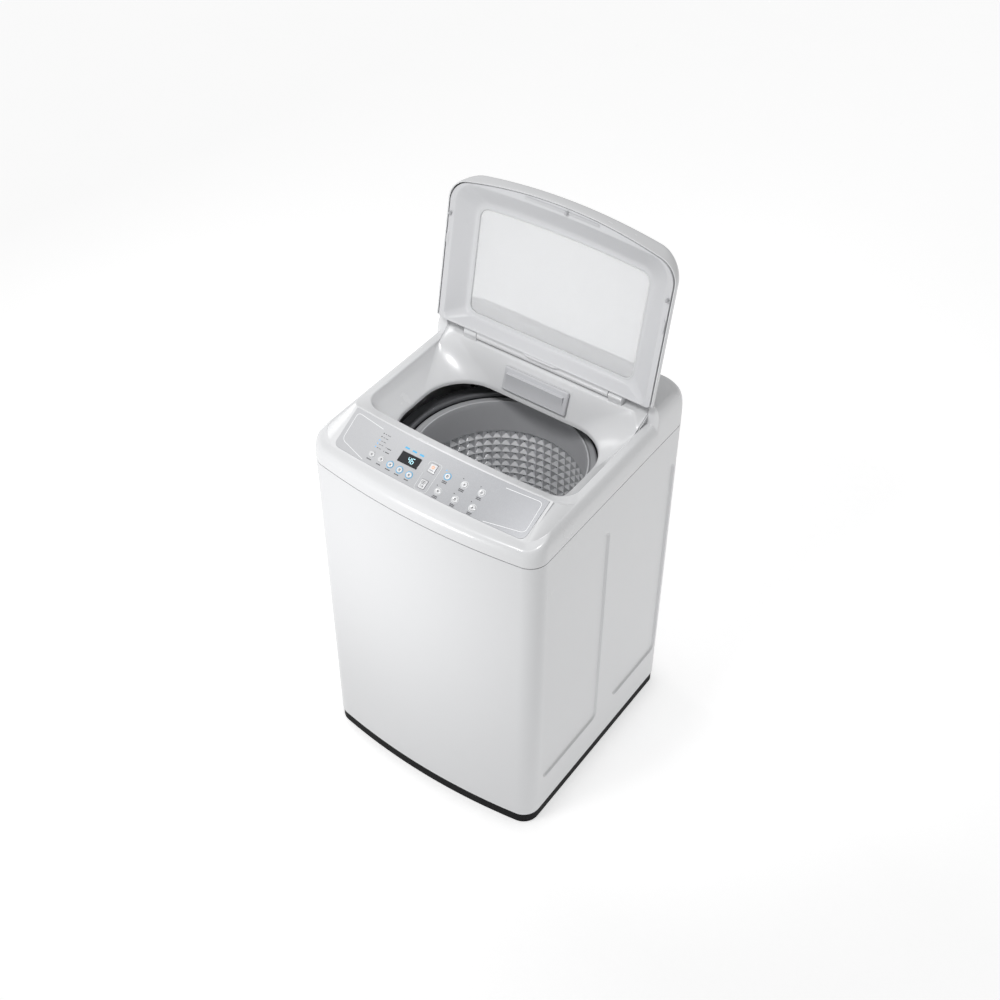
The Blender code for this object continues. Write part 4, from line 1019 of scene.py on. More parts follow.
@dataclass(frozen=True)
class FasciaFrame:
    """The sloping control panel's own frame: x runs along it, and along runs down its slope."""

    lip_y: float = -0.1683
    lip_z: float = 0.8785
    slope: float = math.radians(25.75)
    half: float = 0.2262
    taper: float = 0.0030
    length: float = 0.088
    thick: float = 0.0022
    bow: float = 0.0080
    corner: float = 0.0120

    def point(self, x: float, along: float, height: float) -> Vector:
        """Return a point of the panel.

        Args:
            x: The place along the panel.
            along: The way down the slope.
            height: The height off the surface.

        Returns:
            The point in the machine's frame.
        """
        y = (self.lip_y + self.bow * (x / self.half) ** 2 - along * math.cos(self.slope)
             - height * math.sin(self.slope))
        z = self.lip_z - along * math.sin(self.slope) + height * math.cos(self.slope)
        return Vector((x, y, z))

    def matrix(self, x: float, along: float) -> Matrix:
        """Return the frame of a control, with its Z off the surface."""
        return Matrix.Translation(self.point(x, along, 0.0)) @ Matrix.Rotation(self.slope, 4, "X")

    def plate(self, name: str, half_top: float, half_bottom: float, along: tuple[float, float],
              height: tuple[float, float], columns: int = 64, rows: int = 10,
              corner: float = 0.0) -> bpy.types.Object:
        """Make a solid plate that follows the panel's bow.

        Args:
            name: The object's name.
            half_top: Half of its width at the top.
            half_bottom: Half of its width at the bottom.
            along: Where it starts and ends down the slope.
            height: Its lowest and highest face.
            columns: The number of columns.
            rows: The number of rows.
            corner: The radius of its two lower corners.

        Returns:
            The plate, flat shaded.
        """
        straight = along[1] - corner
        places = [(mix(along[0], straight, r / rows), 0.0) for r in range(rows + 1)]
        if corner > 0:
            turns = [math.radians(15 * step) for step in range(1, 7)]
            places += [(straight + corner * math.sin(angle), corner * (1 - math.cos(angle)))
                       for angle in turns]
        shape = bmesh.new()
        levels = []
        for level in height:
            grid = []
            for down, inset in places:
                half = mix(half_top, half_bottom, (down - along[0]) / (along[1] - along[0])) - inset
                grid.append([shape.verts.new(self.point((2 * c / columns - 1) * half, down, level))
                             for c in range(columns + 1)])
            levels.append(grid)
            join_rows(shape, grid, closed=False)
        rims = []
        for grid in levels:
            rims.append(grid[0] + [row[-1] for row in grid[1:]] + grid[-1][-2::-1]
                        + [row[0] for row in grid[-2:0:-1]])
        join_rows(shape, rims, closed=True)
        bmesh.ops.recalc_face_normals(shape, faces=shape.faces)
        return to_object(name, shape, 0)


PANEL = FasciaFrame()


@dataclass
class MouldedTop(SubAssembly):
    """The white moulded top: nose, rails, rear deck, basin, hinge knuckles and detergent recess."""

    half: float = 0.270
    front_y: float = -0.286
    rear_y: float = 0.261
    seam_z: float = 0.8012
    rail_z: float = 0.859
    deck_z: float = 0.900
    trough_z: float = 0.8825
    deck_front_y: float = 0.166
    wall_top_y: float = 0.1400
    hole_half: float = 0.200
    hole_y: tuple[float, float] = (-0.1395, 0.1165)
    hole_z: float = 0.806
    wall: float = 0.0028
    rim_y: float = -0.1350
    hinge: Point2 = (0.147, 0.894)
    barrel_radius: float = 0.0085
    barrel_half: float = 0.1580
    knuckle_end: float = 0.1900
    pin_radius: float = 0.0030
    tray_half: float = 0.068
    tray_z: tuple[float, float] = (0.8260, 0.8560)

    def wall_y(self, z: float) -> float:
        """Return the Y of the basin's sloping rear wall at a height."""
        return mix(self.hole_y[1], self.wall_top_y, (z - self.hole_z) / (self.trough_z - self.hole_z))

    def _rings(self) -> tuple[list[list[Point3]], list[float | None]]:
        """Return the section's rings from the seam to the hole, with a fillet for each."""
        ring = PlanRing().line
        toe = PANEL.point(0, PANEL.length + 0.004, 0)
        lip = PANEL.point(0, -0.003, 0)
        bow = PANEL.bow / PANEL.half ** 2
        half, front, rear, rail, deck = self.half, self.front_y, self.rear_y, self.rail_z, self.deck_z
        seam, rim, hole = self.seam_z, self.rim_y, self.hole_z
        rows = [
            (ring(half, front, 0.025, rear, 0.040, 0.020, seam, seam, seam), None),
            (ring(half, front, 0.025, rear, 0.040, 0.020, 0.815, rail - 0.034, 0.845, True), None),
            (ring(half - 0.001, front + 0.0025, 0.024, rear - 0.0005, 0.040, 0.025, 0.827, rail - 0.0165,
                  deck - 0.028, True), None),
            (ring(half - 0.004, front + 0.0095, 0.022, rear - 0.0018, 0.040, 0.035, toe.z - 0.0025,
                  rail - 0.0075, deck - 0.013, True), None),
            (ring(half - 0.0085, toe.y - 0.009, 0.0185, rear - 0.006, 0.040, 0.045, toe.z - 0.0003,
                  rail - 0.002, deck - 0.0045, True), None),
            (ring(half - 0.011, toe.y, bow * (half - 0.011) ** 2, rear - 0.012, 0.040, 0.052, toe.z,
                  rail - 0.0005, deck - 0.001, True), 0.003),
            (ring(half - 0.014, lip.y, bow * (half - 0.014) ** 2, rear - 0.026, 0.044, 0.050, lip.z, rail,
                  deck, True), 0.0022),
            (ring(0.2445, rim, 0.008, self.deck_front_y, 0.045, 0.008, rail + 0.0025, rail, deck, True),
             0.0022),
            (ring(0.2425, rim + 0.0025, 0.008, self.deck_front_y - 0.0005, 0.043, 0.008, rail + 0.0005,
                  rail - 0.002, self.trough_z, True), 0.0012),
            (ring(0.2405, rim + 0.0025, 0.008, self.wall_top_y, 0.045, 0.030, rail - 0.004, rail - 0.007,
                  self.trough_z), 0.006),
            (ring(0.2330, rim + 0.001, 0.007, self.wall_y(0.868), 0.055, 0.045, 0.840, 0.838, 0.868), None),
            (ring(0.2200, rim - 0.0015, 0.006, self.wall_y(0.842), 0.070, 0.070, 0.825, 0.824, 0.842), None),
            (ring(0.2090, rim - 0.0035, 0.004, self.wall_y(0.820), 0.090, 0.090, 0.813, 0.8135, 0.820), None),
            (ring(self.hole_half, self.hole_y[0], 0.003, self.hole_y[1], 0.095, 0.095, hole, hole, hole),
             0.004),
            (ring(self.hole_half, self.hole_y[0], 0.003, self.hole_y[1], 0.095, 0.095, hole - 0.008,
                  hole - 0.008, hole - 0.008), None),
        ]
        return [row for row, _ in rows], [radius for _, radius in rows]

    def build(self) -> None:
        """Build the top with its recesses, openings and knuckles."""
        rings, radii = self._rings()
        cover = thicken(loft("top_moulding", round_section(rings, radii)), self.wall)
        edge = 0.006
        tray = PANEL.plate("panel_tray", PANEL.half + edge, PANEL.half - PANEL.taper + edge,
                           (-0.0022, PANEL.length + 0.003), (-0.0060, -0.0006), 24, 2)
        recess = PANEL.plate("panel_recess", PANEL.half + GAP, PANEL.half - PANEL.taper + GAP,
                             (-GAP, PANEL.length + GAP), (-PANEL.thick, 0.004), 24, 2, PANEL.corner)
        window = PANEL.plate("panel_window", PANEL.half - 0.013, PANEL.half - 0.013,
                             (0.008, PANEL.length - 0.004), (-0.012, 0.001), 24, 2)
        combine(cover, tray, "UNION")
        combine(cover, recess, "DIFFERENCE")
        combine(cover, window, "DIFFERENCE")
        mouth = box_shape([((-self.tray_half - 0.0015, self.hole_y[1] - 0.02, self.tray_z[0] - 0.0015),
                            (self.tray_half + 0.0015, self.wall_top_y + 0.012, self.tray_z[1] + 0.0015))])
        combine(cover, to_object("mouth_cut", mouth, 0), "DIFFERENCE")
        low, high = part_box("inlet_valve")
        spouts = [((x, self.rear_y - 0.02, (low.z + high.z) / 2),
                   (x, self.rear_y + 0.02, (low.z + high.z) / 2))
                  for x in (low.x + 0.018, high.x - 0.018)]
        combine(cover, to_object("spout_cut", rod_shape(spouts, 0.0130)), "DIFFERENCE")
        self.add(steady_normals(cover), "cabinet", GLOSS_WHITE, "top_cover")
        self._build_knuckles()

    def _build_knuckles(self) -> None:
        """Build the fixed hinge knuckles with their feet."""
        y, z = self.hinge
        feet = []
        barrels = []
        for side in Side:
            ends = sorted((side.value * (self.barrel_half + 0.0015), side.value * self.knuckle_end))
            feet.append(((ends[0], y - 0.0072, self.trough_z - 0.0015), (ends[1], y + 0.0072, z)))
            barrels.append(((ends[0], y, z), (ends[1], y, z)))
        knuckles = to_object("hinge_knuckles", rod_shape(barrels, self.barrel_radius, 48))
        combine(knuckles, to_object("knuckle_feet", box_shape(feet), 0), "UNION")
        bores = [((side.value * (self.barrel_half - 0.01), y, z),
                  (side.value * (self.knuckle_end - 0.004), y, z))
                 for side in Side]
        combine(knuckles, to_object("knuckle_bores", rod_shape(bores, self.pin_radius + GAP, 24)),
                "DIFFERENCE")
        self.add(knuckles, "cabinet", GLOSS_WHITE)

    def dress(self) -> None:
        """Dress the hinge pins."""
        for side in Side:
            self.dress_node("lid_hinge_pin_" + side.name.lower(), ZINC)


@dataclass
class ControlPanel(SubAssembly):
    """The silver control panel with its buttons, keys, display and printed marks."""

    button_radius: float = 0.0060
    ring_radii: tuple[float, float] = (0.0065, 0.0077)
    button_proud: float = 0.0018
    button_depth: float = 0.0065
    key_size: Point2 = (0.0150, 0.0190)
    display_at: Point2 = (-0.0632, 0.0425)
    display_size: Point2 = (0.0460, 0.0225)
    print_height: float = 0.00012
    round_buttons: dict[str, Point2] = field(default_factory=lambda: {
        "button_option_1": (-0.1395, 0.0670), "button_option_2": (-0.1162, 0.0675),
        "button_option_3": (-0.0929, 0.0680), "button_option_4": (-0.0696, 0.0685),
        "button_option_5": (-0.0463, 0.0690),
        "button_program_1": (0.0243, 0.0380), "button_program_2": (0.0633, 0.0380),
        "button_program_3": (0.1023, 0.0380), "button_program_4": (0.0243, 0.0715),
        "button_program_5": (0.0633, 0.0715), "button_program_6": (0.1023, 0.0715)})
    keys: dict[str, Point2] = field(default_factory=lambda: {
        "button_power": (-0.0110, 0.0370), "button_start": (-0.0110, 0.0725)})
    blue_ringed: tuple[str, ...] = ("button_option_3", "button_option_4", "button_option_5",
                                    "button_program_1")

    def _marks(self, name: str, bands: Sequence[tuple[Sequence[Point2], Sequence[Point2], bool]],
               patches: Sequence[Sequence[Point2]], base: float, thick: float) -> bpy.types.Object:
        """Make thin raised marks on the panel.

        Args:
            name: The object's name.
            bands: Pairs of lines with faces between them, and whether they close.
            patches: Filled outlines.
            base: The height that the marks stand on.
            thick: Their thickness.

        Returns:
            The marks.
        """
        shape = bmesh.new()
        top = base + thick
        for first, second, closed in bands:
            rows = [[shape.verts.new(PANEL.point(x, along, top)) for x, along in line]
                    for line in (first, second)]
            join_rows(shape, rows, closed)
        for outline in patches:
            shape.faces.new([shape.verts.new(PANEL.point(x, along, top)) for x, along in outline])
        for face in shape.faces:
            face.normal_update()
            if face.normal.z < 0:
                face.normal_flip()
        item = to_object(name, shape, 0)
        return thicken(item, thick)

    @staticmethod
    def _band(path: Sequence[Point2], width: float, closed: bool = False) -> Band:
        """Return a line of a given width as two offset lines.

        Args:
            path: The line's middle.
            width: Its width.
            closed: Whether it is a loop.

        Returns:
            Both offset lines, and whether they close.
        """
        count = len(path)
        first, second = [], []
        for i, here in enumerate(path):
            before = path[(i - 1) % count] if closed or i > 0 else here
            after = path[(i + 1) % count] if closed or i < count - 1 else here
            run = Vector((after[0] - before[0], after[1] - before[1])).normalized()
            side = Vector((-run.y, run.x)) * width / 2
            first.append((here[0] + side.x, here[1] + side.y))
            second.append((here[0] - side.x, here[1] - side.y))
        return first, second, closed

    @staticmethod
    def _round(x: float, along: float, radius: float, count: int = 28) -> list[Point2]:
        """Return a circle's outline."""
        return [(x + radius * math.cos(math.tau * i / count), along + radius * math.sin(math.tau * i / count))
                for i in range(count)]

    @staticmethod
    def _bent_line(points: Sequence[Point2], radius: float, steps: int = 8) -> list[Point2]:
        """Return a line with rounded bends."""
        return soft_profile(points, [radius] * len(points), steps)

    def build(self) -> None:
        """Build the panel, its controls and its marks."""
        self._build_plate()
        self._build_buttons()
        self._build_keys()
        self._build_display()
        self._build_print()

    def _build_plate(self) -> None:
        """Build the silver plate with an opening for each control."""
        plate = PANEL.plate("panel_plate", PANEL.half, PANEL.half - PANEL.taper, (0.0, PANEL.length),
                            (GAP - PANEL.thick, GAP), corner=PANEL.corner)
        cutter = bmesh.new()
        for x, along in self.round_buttons.values():
            radius = self.button_radius + GAP
            bmesh.ops.create_cone(cutter, cap_ends=True, segments=36, radius1=radius, radius2=radius,
                                  depth=0.02, matrix=PANEL.matrix(x, along))
        combine(plate, to_object("button_cut", cutter, 0), "DIFFERENCE")
        sizes = [(place, self.key_size) for place in self.keys.values()]
        sizes.append((self.display_at, self.display_size))
        corners = [((-wide / 2 - GAP, -high / 2 - GAP, -0.01), (wide / 2 + GAP, high / 2 + GAP, 0.01))
                   for _, (wide, high) in sizes]
        places = [PANEL.matrix(x, along) for (x, along), _ in sizes]
        combine(plate, to_object("key_cut", box_shape(corners, places), 0), "DIFFERENCE")
        plate.data.shade_flat()
        self.add(plate, "cabinet", FASCIA, "control_fascia")

    def _build_buttons(self) -> None:
        """Build the round buttons, each with a dished top, a rim and a small dark sign."""
        radius, proud, depth = self.button_radius, self.button_proud, self.button_depth
        corners = [(0, proud - 0.0004), (radius * 0.55, proud - 0.0003), (radius * 0.78, proud),
                   (radius, proud - 0.0004), (radius, -depth), (0, -depth)]
        profile = soft_profile(corners, [0, 0.0012, 0.0005, 0.0004, 0, 0])
        for index, (name, (x, along)) in enumerate(self.round_buttons.items()):
            button = turned(name + "_cap", profile, 48, matrix=PANEL.matrix(x, along))
            self.add(button, name, KEY_GREY, name)
            self._build_sign(name, index, x, along)

    def _build_sign(self, name: str, index: int, x: float, along: float) -> None:
        """Build the small sign on a button: short bars and a ring that stand for no word.

        Args:
            name: The button's name.
            index: Its number, which chooses the sign.
            x: Its place along the panel.
            along: Its place down the slope.
        """
        base = self.button_proud - 0.00045
        bands = []
        if index % 2 == 0:
            bands.append(self._band([(x - 0.0022, along - 0.0005), (x + 0.0022, along - 0.0005)], 0.0015))
            bands.append(self._band([(x - 0.0014, along + 0.0015), (x + 0.0014, along + 0.0015)], 0.0012))
        else:
            bands.append(self._band(self._round(x, along, 0.0019, 16), 0.0011, True))
            bands.append(self._band([(x, along - 0.0024), (x, along - 0.0002)], 0.0012))
        self.add(self._marks(name + "_sign", bands, [], base, self.print_height), name, PRINT_DARK)

    def _build_keys(self) -> None:
        """Build the power key and the start key with their signs."""
        wide, high = self.key_size
        for name, (x, along) in self.keys.items():
            low = (-wide / 2 + GAP, -high / 2 + GAP, -self.button_depth)
            top = (wide / 2 - GAP, high / 2 - GAP, self.button_proud)
            key = to_object(name + "_cap", box_shape([(low, top)], [PANEL.matrix(x, along)], 0.0011), 30)
            self.add(key, name, KEY_GREY, name)
            base = self.button_proud
            if name == "button_power":
                arc = [(x + 0.0026 * math.sin(a), along - 0.0022 - 0.0026 * math.cos(a))
                       for a in (math.radians(40 + 280 * i / 20) for i in range(21))]
                sign = [self._band(arc, 0.0010),
                        self._band([(x, along - 0.0056), (x, along - 0.0024)], 0.0010)]
                # The power sign's orange glow is painted light.
                self.add(self._marks("power_sign", sign, [], base, self.print_height), name, GLOWING_ORANGE_PRINT)
                bars = [self._band([(x - 0.0045, along + 0.0048), (x + 0.0045, along + 0.0048)], 0.0008)]
            else:
                bars = [self._band([(x - half, along + down), (x + half, along + down)], 0.0009)
                        for half, down in ((0.0040, -0.0055), (0.0048, -0.0030), (0.0036, -0.0005))]
                triangle = [(x - 0.0026, along + 0.0028), (x - 0.0026, along + 0.0066),
                            (x + 0.0006, along + 0.0047)]
                bars.append(self._band(triangle, 0.0006, True))
                bars.append(self._band([(x + 0.0020, along + 0.0029), (x + 0.0020, along + 0.0065)], 0.0008))
                bars.append(self._band([(x + 0.0036, along + 0.0029), (x + 0.0036, along + 0.0065)], 0.0008))
            self.add(self._marks(name + "_bars", bars, [], base, self.print_height), name, PRINT_DARK)

    def _build_display(self) -> None:
        """Build the black window with two lit digits and two dim signs."""
        (x, along), (wide, high) = self.display_at, self.display_size
        low = (-wide / 2 + GAP, -high / 2 + GAP, -0.0022)
        top = (wide / 2 - GAP, high / 2 - GAP, 0.0005)
        self.add(to_object("display_pane", box_shape([(low, top)], [PANEL.matrix(x, along)], 0.0004), 30),
                 "cabinet", BLACK_GLASS, "display_window")
        digits = []
        for middle, lit in ((x - 0.0005, "bcfg"), (x + 0.0075, "acdefg")):
            digits.extend(self._digit(middle, along, lit))
        self.add(self._marks("display_digits", digits, [], 0.0005, self.print_height), "cabinet", LAMP_ICE)
        dim = [self._band(self._round(x - 0.0150, along - 0.0055, 0.0017, 14), 0.0010, True),
               self._band([(x - 0.0168, along + 0.0050), (x - 0.0132, along + 0.0050)], 0.0018),
               self._band([(x - 0.0150, along + 0.0068), (x - 0.0132, along + 0.0068)], 0.0008)]
        self.add(self._marks("display_signs", dim, [], 0.0005, self.print_height), "cabinet", LAMP_RED)

    def _digit(self, x: float, along: float, lit: str) -> list[Band]:
        """Return a seven part digit's lit parts.

        Args:
            x: The digit's middle.
            along: Its middle down the slope.
            lit: The letters of the lit parts.

        Returns:
            The bands.
        """
        w, h, cut = 0.0026, 0.0056, 0.0004
        lean = 0.0006
        parts = {"a": ((-w + cut, -h), (w - cut, -h)), "b": ((w, -h + cut), (w, -cut)),
                 "c": ((w, cut), (w, h - cut)), "d": ((-w + cut, h), (w - cut, h)),
                 "e": ((-w, cut), (-w, h - cut)), "f": ((-w, -h + cut), (-w, -cut)),
                 "g": ((-w + cut, 0.0), (w - cut, 0.0))}
        return [self._band([(x + dx - lean * dy / h, along + dy) for dx, dy in parts[letter]], 0.0010)
                for letter in lit]

    def _build_print(self) -> None:
        """Build the printed rings, lamps, brackets, frames and short caption bars."""
        r0, r1 = self.ring_radii
        rings: dict[str, list] = {"blue": [], "grey": []}
        dark: list = []
        lamps: list = []
        for name, (x, along) in self.round_buttons.items():
            kind = "blue" if name in self.blue_ringed else "grey"
            rings[kind].append((self._round(x, along, r0), self._round(x, along, r1), True))
            dark.extend(self._caption(name, x, along))
            if "program" in name:
                dot = self._round(x - 0.0085, along - 0.0100, 0.0011, 14)
                (lamps if name == "button_program_1" else dark).append((dot, self._round(
                    x - 0.0085, along - 0.0100, 0.0002, 14), True))
        for row, along in enumerate((0.0505, 0.0427, 0.0352, 0.0273, 0.0196)):
            dot = (self._round(-0.1425, along, 0.0012, 14), self._round(-0.1425, along, 0.0002, 14), True)
            (lamps if row < 3 else dark).append(dot)
            dark.append(self._band([(-0.1385, along), (-0.1350, along)], 0.0009))
            dark.append(self._band([(-0.1330, along), (-0.1290 + 0.0008 * row, along)], 0.0009))
        for along in (0.0430, 0.0510):
            dark.append((self._round(-0.1210, along, 0.0009, 12), self._round(-0.1210, along, 0.0002, 12),
                         True))
            dark.append(self._band([(-0.1180, along), (-0.1085, along)], 0.0015))
        bars = [self._band([(x - 0.0050, 0.0235), (x + 0.0050, 0.0235)], 0.0034)
                for x in (-0.0810, -0.0635, -0.0460)]
        lines = [self._bent_line([(-0.149, 0.013), (-0.2175, 0.0075), (-0.2140, 0.0700), (-0.151, 0.0850)],
                                 0.010),
                 self._bent_line([(0.138, 0.0100), (0.2165, 0.0075), (0.2175, 0.0740), (0.134, 0.0860)],
                                 0.010)]
        frame_line = rounded_rect(-0.0245, 0.0045, 0.0240, 0.0875, 0.0060)
        base = GAP
        thin = self.print_height
        self.add(self._marks("panel_blue_rings", rings["blue"], [], base, thin * 2), "cabinet", PRINT_BLUE)
        self.add(self._marks("panel_silver_rings", rings["grey"] + [self._band(frame_line, 0.0010, True)], [],
                             base, thin * 2), "cabinet", PRINT_SILVER)
        self.add(self._marks("panel_captions", dark, [], base, thin), "cabinet", PRINT_DARK)
        self.add(self._marks("panel_lamps", lamps, [], base, thin), "cabinet", LAMP_BLUE)
        self.add(self._marks("panel_cyan_bars", bars, [], base, thin), "cabinet", PRINT_BLUE)
        self.add(self._marks("panel_brackets", [self._band(line, 0.0011) for line in lines], [], base, thin),
                 "cabinet", PRINT_WHITE)

    def _caption(self, name: str, x: float, along: float) -> list[Band]:
        """Return short bars below a button, where a caption would be.

        Args:
            name: The button's name, which varies the bars.
            x: Its place along the panel.
            along: Its place down the slope.

        Returns:
            The bands.
        """
        source = random.Random(name)
        below = along + 0.0112
        pieces = []
        for row in range(2 if "program" in name else 1):
            start = x - 0.0050 + source.uniform(-0.0008, 0.0008)
            while start < x + 0.0045:
                size = source.uniform(0.0012, 0.0028)
                pieces.append(self._band([(start, below + row * 0.0030),
                                          (start + size, below + row * 0.0030)], 0.0019))
                start += size + 0.0005
        return pieces

    def dress(self) -> None:
        """Dress the board behind the panel."""
        self.dress_node("control_board", BOARD, 30)


@dataclass
class Lid(SubAssembly):
    """The lid on its hinge: outer shell, dished inner frame, window, barrel and bumpers.

    Its section is given closed, from the hinge's axis, and turned open around it.
    """

    hinge: Point2 = (0.147, 0.894)
    open_angle: float = math.radians(100.75)
    half: float = 0.2585
    length: float = 0.346
    bow: float = 0.035
    corner: float = 0.050
    crown: float = 0.026
    rim_gap: float = 0.0020
    rim_width: tuple[float, float] = (0.0143, 0.0185)
    under: float = -0.013
    window_half: float = 0.2030
    window_y: tuple[float, float] = (-0.2840, -0.0305)
    window_bow: float = 0.008
    shell_wall: float = 0.0022
    frame_wall: float = 0.0025
    barrel_half: float = 0.1580
    barrel_radius: float = 0.0085

    @property
    def place(self) -> Matrix:
        """The hinge's frame with the lid open."""
        return Matrix.Translation((0, *self.hinge)) @ Matrix.Rotation(-self.open_angle, 4, "X")

    def _open(self, item: bpy.types.Object) -> bpy.types.Object:
        """Turn a piece from its closed place to the open one, in its mesh."""
        item.data.transform(self.place)
        return item

    def build(self) -> None:
        """Build the shell, the frame, the window's gasket and the barrel."""
        ring = PlanRing(front_stations=34, corner_stations=16).line
        front = -self.length
        far, near = self.window_y
        bow, corner, crown = self.bow, self.corner, self.crown
        shell = [
            (ring(self.half - 0.001, front + 0.001, bow, -0.0110, corner - 0.001, 0.006, -0.0125, -0.0125,
                  0.0010),
             None),
            (ring(self.half, front, bow, -0.0105, corner, 0.006, -0.006, -0.006, 0.0035), None),
            (ring(self.half - 0.003, front, bow - 0.003, -0.0110, corner, 0.008, 0.004, 0.004, 0.0060), None),
            (ring(self.half - 0.010, front + 0.0003, bow - 0.008, -0.0130, corner, 0.010, crown * 0.54,
                  crown * 0.54, 0.0105), None),
            (ring(self.half - 0.022, front + 0.002, bow - 0.013, -0.0160, corner - 0.003, 0.012, crown * 0.87,
                  crown * 0.87, 0.0140), None),
            (ring(self.half - 0.032, front + 0.011, bow - 0.015, -0.0200, corner - 0.006, 0.018, crown, crown,
                  0.0160), None),
            (ring(self.window_half + 0.0005, far - 0.0005, self.window_bow, near + 0.0005, 0.030, 0.022,
                  0.0165, 0.0165, 0.0165), None)]
        skin = loft("lid_outer_shell", round_section([row for row, _ in shell], [size for _, size in shell]))
        self.add(steady_normals(self._open(thicken(skin, self.shell_wall))), "lid", GLOSS_WHITE, "lid_shell")
        under = self.under
        rim_half = self.half - 0.001 - self.shell_wall - self.rim_gap
        rim_front = front + 0.001 + self.shell_wall + self.rim_gap / 2
        rim_bow = bow - 0.0005
        dish_half = rim_half - self.rim_width[0]
        dish_front = rim_front + self.rim_width[1]
        inner = [
            (ring(self.window_half - 0.0070, far + 0.0060, self.window_bow, near - 0.0060, 0.026, 0.018,
                  0.0104, 0.0104, 0.0104), None),
            (ring(self.window_half - 0.0015, far + 0.0005, self.window_bow, near + 0.0005, 0.030, 0.020,
                  0.0100, 0.0100, 0.0100), 0.0015),
            (ring(self.window_half + 0.0050, far - 0.0080, 0.009, -0.0265, 0.034, 0.020, 0.0080, 0.0080,
                  0.0070),
             None),
            (ring(dish_half, dish_front, 0.012, -0.0160, 0.045, 0.014, under + 0.0010, under + 0.0010,
                  under + 0.0015), 0.0040),
            (ring(dish_half + 0.0020, dish_front - 0.0020, 0.012, -0.0145, 0.045, 0.012, under, under, under),
             0.0012),
            (ring(rim_half - 0.0008, rim_front + 0.0008, rim_bow, -0.0118, corner - 0.002, 0.008, under,
                  under, under), 0.0006),
            (ring(rim_half, rim_front, rim_bow, -0.0115, corner - 0.002, 0.008, under + 0.004, under + 0.004,
                  -0.0030), None)]
        liner = loft("lid_inner_frame", round_section([row for row, _ in inner], [size for _, size in inner]))
        self.add(steady_normals(self._open(thicken(liner, self.frame_wall))), "lid", LID_GREY, "lid_frame")
        self._build_barrel()
        self._build_gasket(ring)

    def _build_barrel(self) -> None:
        """Build the hinge barrel with its web and a thin seam at each end."""
        barrel = to_object("lid_hinge_barrel",
                           rod_shape([((-self.barrel_half, 0, 0), (self.barrel_half, 0, 0))],
                                                         self.barrel_radius, 56))
        web = box_shape([((-self.barrel_half, -0.0150, -0.0080), (self.barrel_half, -0.0040, -0.0030))])
        combine(barrel, to_object("barrel_web", web, 0), "UNION")
        bores = [((side.value * (self.barrel_half - 0.010), 0, 0),
                  (side.value * (self.barrel_half + 0.01), 0, 0))
                 for side in Side]
        combine(barrel, to_object("barrel_bores", rod_shape(bores, 0.0033, 24)), "DIFFERENCE")
        self.add(self._open(barrel), "lid", GLOSS_WHITE)

    def _build_gasket(self, ring: Callable[..., list[Point3]]) -> None:
        """Build the thin seal around the window.

        Args:
            ring: The function that gives a plan ring.
        """
        far, near = self.window_y
        rows = []
        for inset, z in ((0.0095, 0.0105), (0.0075, 0.0098), (0.0060, 0.0103), (0.0062, 0.0122),
                         (0.0095, 0.0122)):
            rows.append(ring(self.window_half - inset, far + inset, self.window_bow, near - inset,
                             0.032 - inset, 0.026 - inset, z, z, z))
        rows.append(rows[0])
        shape = bmesh.new()
        loops = [[shape.verts.new(point) for point in line] for line in rows[:-1]]
        join_rows(shape, [*loops, loops[0]], closed=True)
        bmesh.ops.recalc_face_normals(shape, faces=shape.faces)
        self.add(self._open(to_object("window_seal", shape)), "lid", TRIM_GREY)

    def dress(self) -> None:
        """Dress the window and the bumpers."""
        self.dress_node("lid_window", CLEAR, 30)
        for place in ("front", "left", "right"):
            self.dress_node("lid_bumper_" + place, RUBBER)


